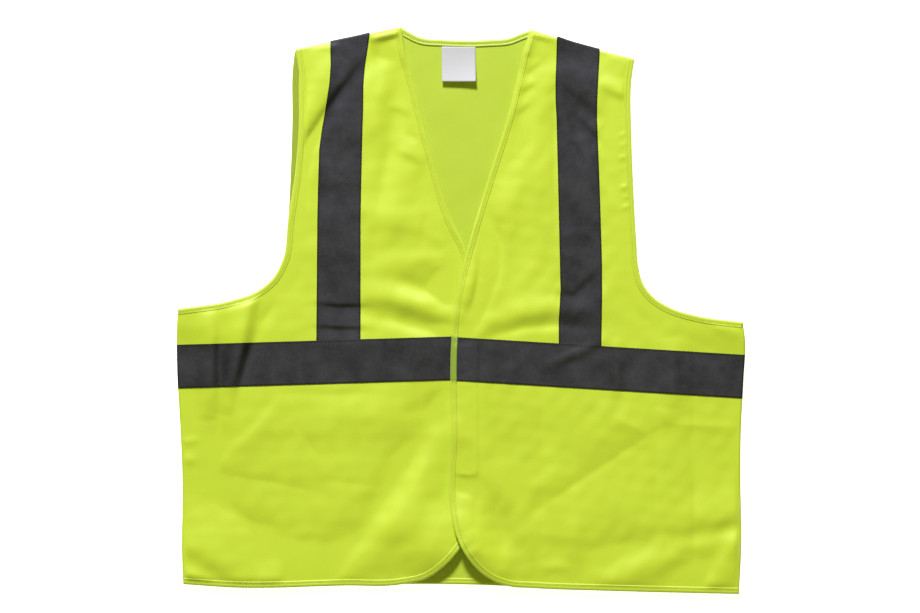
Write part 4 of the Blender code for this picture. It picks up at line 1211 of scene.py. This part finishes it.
# %% Hook and loop, and the label
LOOP_STRIP = (-0.0085, 0.0095)
HOOK_STRIP = (-0.0030, 0.0180)
STRIP_ENDS = (-0.0400, -0.1920)
STRIP_WALL = 0.0011
STRIP_COLUMNS, STRIP_ROWS = 8, 60
LOOP_LIFT = 0.0010        # the loop strip's underside over the right front's
HOOK_DROP = 0.0013        # the hook strip's underside below the left front's


def lay_strip(name, ends, z_of, node_name):
    """P(u, v) = (x(u), y(v)) on the cloth, STRIP_WALL thick."""
    x, y = np.meshgrid(np.linspace(*ends, STRIP_COLUMNS), np.linspace(*STRIP_ENDS, STRIP_ROWS))
    flat = np.column_stack((x.ravel(), y.ravel()))
    piece = new_piece(name, np.column_stack((flat, z_of(flat))),
                      grid_faces(STRIP_ROWS, STRIP_COLUMNS), NAP, STRIP_WALL)
    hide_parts(node_name)
    return piece


loop_strip = lay_strip("loop", LOOP_STRIP, lambda flat: under_height(flat) + LOOP_LIFT,
                       "loop_strip")
hook_strip = lay_strip("hook", HOOK_STRIP, lambda flat: over_height(flat) - HOOK_DROP,
                       "hook_strip")

LABEL_LEFT, LABEL_WIDTH = -0.0227, 0.0397
LABEL_TOP, LABEL_LENGTH = 0.3086, 0.0420
LABEL_LIFT = 0.0011       # its sewn edge over the back's underside
LABEL_CURL = 0.0052
LABEL_WALL = 0.0003
LABEL_GRID = 26


def make_label():
    """P(u, v): v runs down from the seam; z = back + curl * v^2, a little more on one side."""
    u, v = np.meshgrid(np.linspace(0, 1, LABEL_GRID), np.linspace(0, 1, LABEL_GRID))
    x = LABEL_LEFT + u * LABEL_WIDTH + 0.0004 * v
    y = LABEL_TOP - v * LABEL_LENGTH * (1 - 0.012 * v)
    curl = LABEL_CURL * v ** 2 * (0.75 + 0.35 * u) + 0.0003 * np.sin(5 * u + 2) * v
    z = BACK_Z + LABEL_LIFT + curl
    points = np.stack((x, y, z), axis=-1).reshape(-1, 3)
    piece = new_piece("label", points, grid_faces(LABEL_GRID, LABEL_GRID), RIBBON,
                      LABEL_WALL)
    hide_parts("neck_label")
    return piece


label = make_label()
print("fastener and label made")

# %% [markdown]
# ## Stitches
# Every row is lockstitch: short floats of thread that dip into the cloth at both ends.  One float
# is a capsule, and a whole row is that capsule repeated along a line by broadcasting.

# %% Rows of stitches
FLOAT_SIDES = 6
FLOAT_AT = np.array((0.0, 0.16, 0.5, 0.84, 1.0))      # shares of a float's length
STITCH = (0.0030, 0.00019)      # pitch and radius
TAPE_STITCH = (0.0042, 0.00026)
CLEAR = 0.0001            # how far a thread's line lies over the surface that it is sewn to


def stitch_row(line, z, pitch, radius):
    """Points (n, rings, sides, 3): centre(t) + r(t) * (cos a * side + sin a * up)."""
    count = max(2, int(round(along(line)[-1] / pitch)))
    spots = resample(np.column_stack((line, z)), count + 1)
    start = spots[:-1, None, None]
    step = (spots[1:] - spots[:-1])[:, None, None]
    t = FLOAT_AT[None, :, None, None]
    angle = np.linspace(0, 2 * np.pi, FLOAT_SIDES, endpoint=False)[None, None, :, None]
    side = np.concatenate((-step[..., 1:2], step[..., 0:1], 0 * step[..., :1]), axis=-1)
    side /= np.linalg.norm(side, axis=-1, keepdims=True)
    up = np.array((0.0, 0.0, 1.0))
    bulge = radius * (0.25 + 0.75 * np.sin(np.pi * t) ** 0.5)
    centre = start + step * (0.06 + 0.88 * t) + up * radius * 1.3 * (np.sin(np.pi * t) - 0.8)
    return centre + bulge * (np.cos(angle) * side + np.sin(angle) * up)


def sew(name, rows, material, stitch=STITCH):
    """Join rows of floats in one piece.  rows holds (line, z) pairs."""
    floats = np.concatenate([stitch_row(line, z, *stitch) for line, z in rows])
    rings = len(FLOAT_AT)
    one = np.arange(rings * FLOAT_SIDES).reshape(rings, FLOAT_SIDES)
    beside = np.roll(one, -1, axis=1)
    walls = np.stack((one[:-1], beside[:-1], beside[1:], one[1:]), axis=-1).reshape(-1, 4)
    firsts = (np.arange(len(floats)) * rings * FLOAT_SIDES)[:, None, None]
    quads = (walls[None] + firsts).reshape(-1, 4).tolist()
    caps = np.stack((one[0, ::-1], one[-1]))
    ends = (caps[None] + firsts).reshape(-1, FLOAT_SIDES).tolist()
    print(name, len(floats), "stitches")
    return new_piece(name, floats.reshape(-1, 3), quads + ends, material)


TOP_AT_STITCH = TOP_LEG - GROOVE + BINDING_WALL
for place, line, hand, height, _ in EDGES:
    row = inset(resample(line, 400), STITCH_IN, hand)
    rows = [(row, height(row) + TOP_AT_STITCH + CLEAR)]
    sew("sewn_" + place, rows, THREAD)

# %% Stitches along the tapes
TAPE_STITCH_IN = 0.0018
BRACE_STITCH_SHARES = (0.036, 0.964)      # of the brace's width
ROW_POINTS = 160


def band_rows(side, left_x, right_x, height, lift):
    """Two rows along a band."""
    x = np.linspace(left_x, right_x, ROW_POINTS)
    rows = []
    for down in (TAPE_STITCH_IN, TAPE_WIDTH - TAPE_STITCH_IN):
        line = np.column_stack((x, band_edge(side, x) - down))
        rows.append((line, height(line) + lift + TAPE_WALL + CLEAR))
    return rows


def brace_rows(table, side, shoulder, height):
    """Two rows along a brace's front, from the band up to the shoulder."""
    rows = []
    order = np.argsort(shoulder[:, 0])
    for share in BRACE_STITCH_SHARES:
        foot_x = brace_x(table, FOOT_Y, share)
        top_x = brace_x(table, TOP_Y, share)
        top_y = np.interp(top_x, shoulder[order, 0], shoulder[order, 1]) - 0.002
        y = np.linspace(band_edge(side, foot_x), top_y, ROW_POINTS)
        line = np.column_stack((brace_x(table, y, share), y))
        rows.append((line, height(line) + BRACE_LIFT + TAPE_WALL + CLEAR))
    return rows


sewn_tapes_right = sew("sewn_tapes_right",
                       band_rows("right", -0.3270, -0.0110, under_height, BAND_LIFT)
                       + brace_rows(BRACE_RIGHT, "right", SHOULDER_RIGHT, under_height),
                       TAPE_THREAD, TAPE_STITCH)
sewn_tapes_left = sew("sewn_tapes_left",
                      band_rows("left", -0.0020, 0.3270, over_height, BAND_LIFT)
                      + brace_rows(BRACE_LEFT, "left", SHOULDER_LEFT, over_height),
                      TAPE_THREAD, TAPE_STITCH)

# %% Stitches that hold the fastener
CLOSURE = ((-0.0068, -0.0385), (0.0190, -0.0385), (0.0190, -0.1925), (-0.0068, -0.1925))


def closure_rows():
    """A rectangle of stitches seen on the left front."""
    corners = np.array(CLOSURE + CLOSURE[:1])
    rows = []
    for start, end in zip(corners[:-1], corners[1:]):
        line = resample(np.vstack((start, end)), 60)
        rows.append((line, over_height(line) + CLOTH_SEEN + 2 * CLEAR))
    return rows


sewn_closure = sew("sewn_closure", closure_rows(), THREAD)

# %% [markdown]
# ## Sizes of the cloth
# Each panel's size in plan and its flat area are printed; the area is the sum of its faces in plan.
# For the bindings, the width of strip that shows is printed.

# %% Sizes
def plan_area(piece):
    """Area of a piece's faces seen from above, from the cross products of their diagonals."""
    count = len(piece.data.vertices)
    points = np.empty(count * 3)
    piece.data.vertices.foreach_get("co", points)
    points = points.reshape(-1, 3)[:, :2]
    corners = np.array([face.vertices[:] for face in piece.data.polygons])
    a = points[corners[:, 2]] - points[corners[:, 0]]
    b = points[corners[:, 3]] - points[corners[:, 1]]
    size = points.max(axis=0) - points.min(axis=0)
    return float(0.5 * np.abs(a[:, 0] * b[:, 1] - a[:, 1] * b[:, 0]).sum()), size


def declare_panel(piece):
    """Print a panel's bounding width and length, and its area."""
    area, size = plan_area(piece)
    print(f"{piece.name}: {size[0]:.3f} x {size[1]:.3f} m, {area:.4f} m2")


declare_panel(back)
declare_panel(front_right)
declare_panel(front_left)
profile_width = float(along(binding_profile(0.0))[-1])
print(f"binding strips show {profile_width * 1000:.1f} mm of their width")
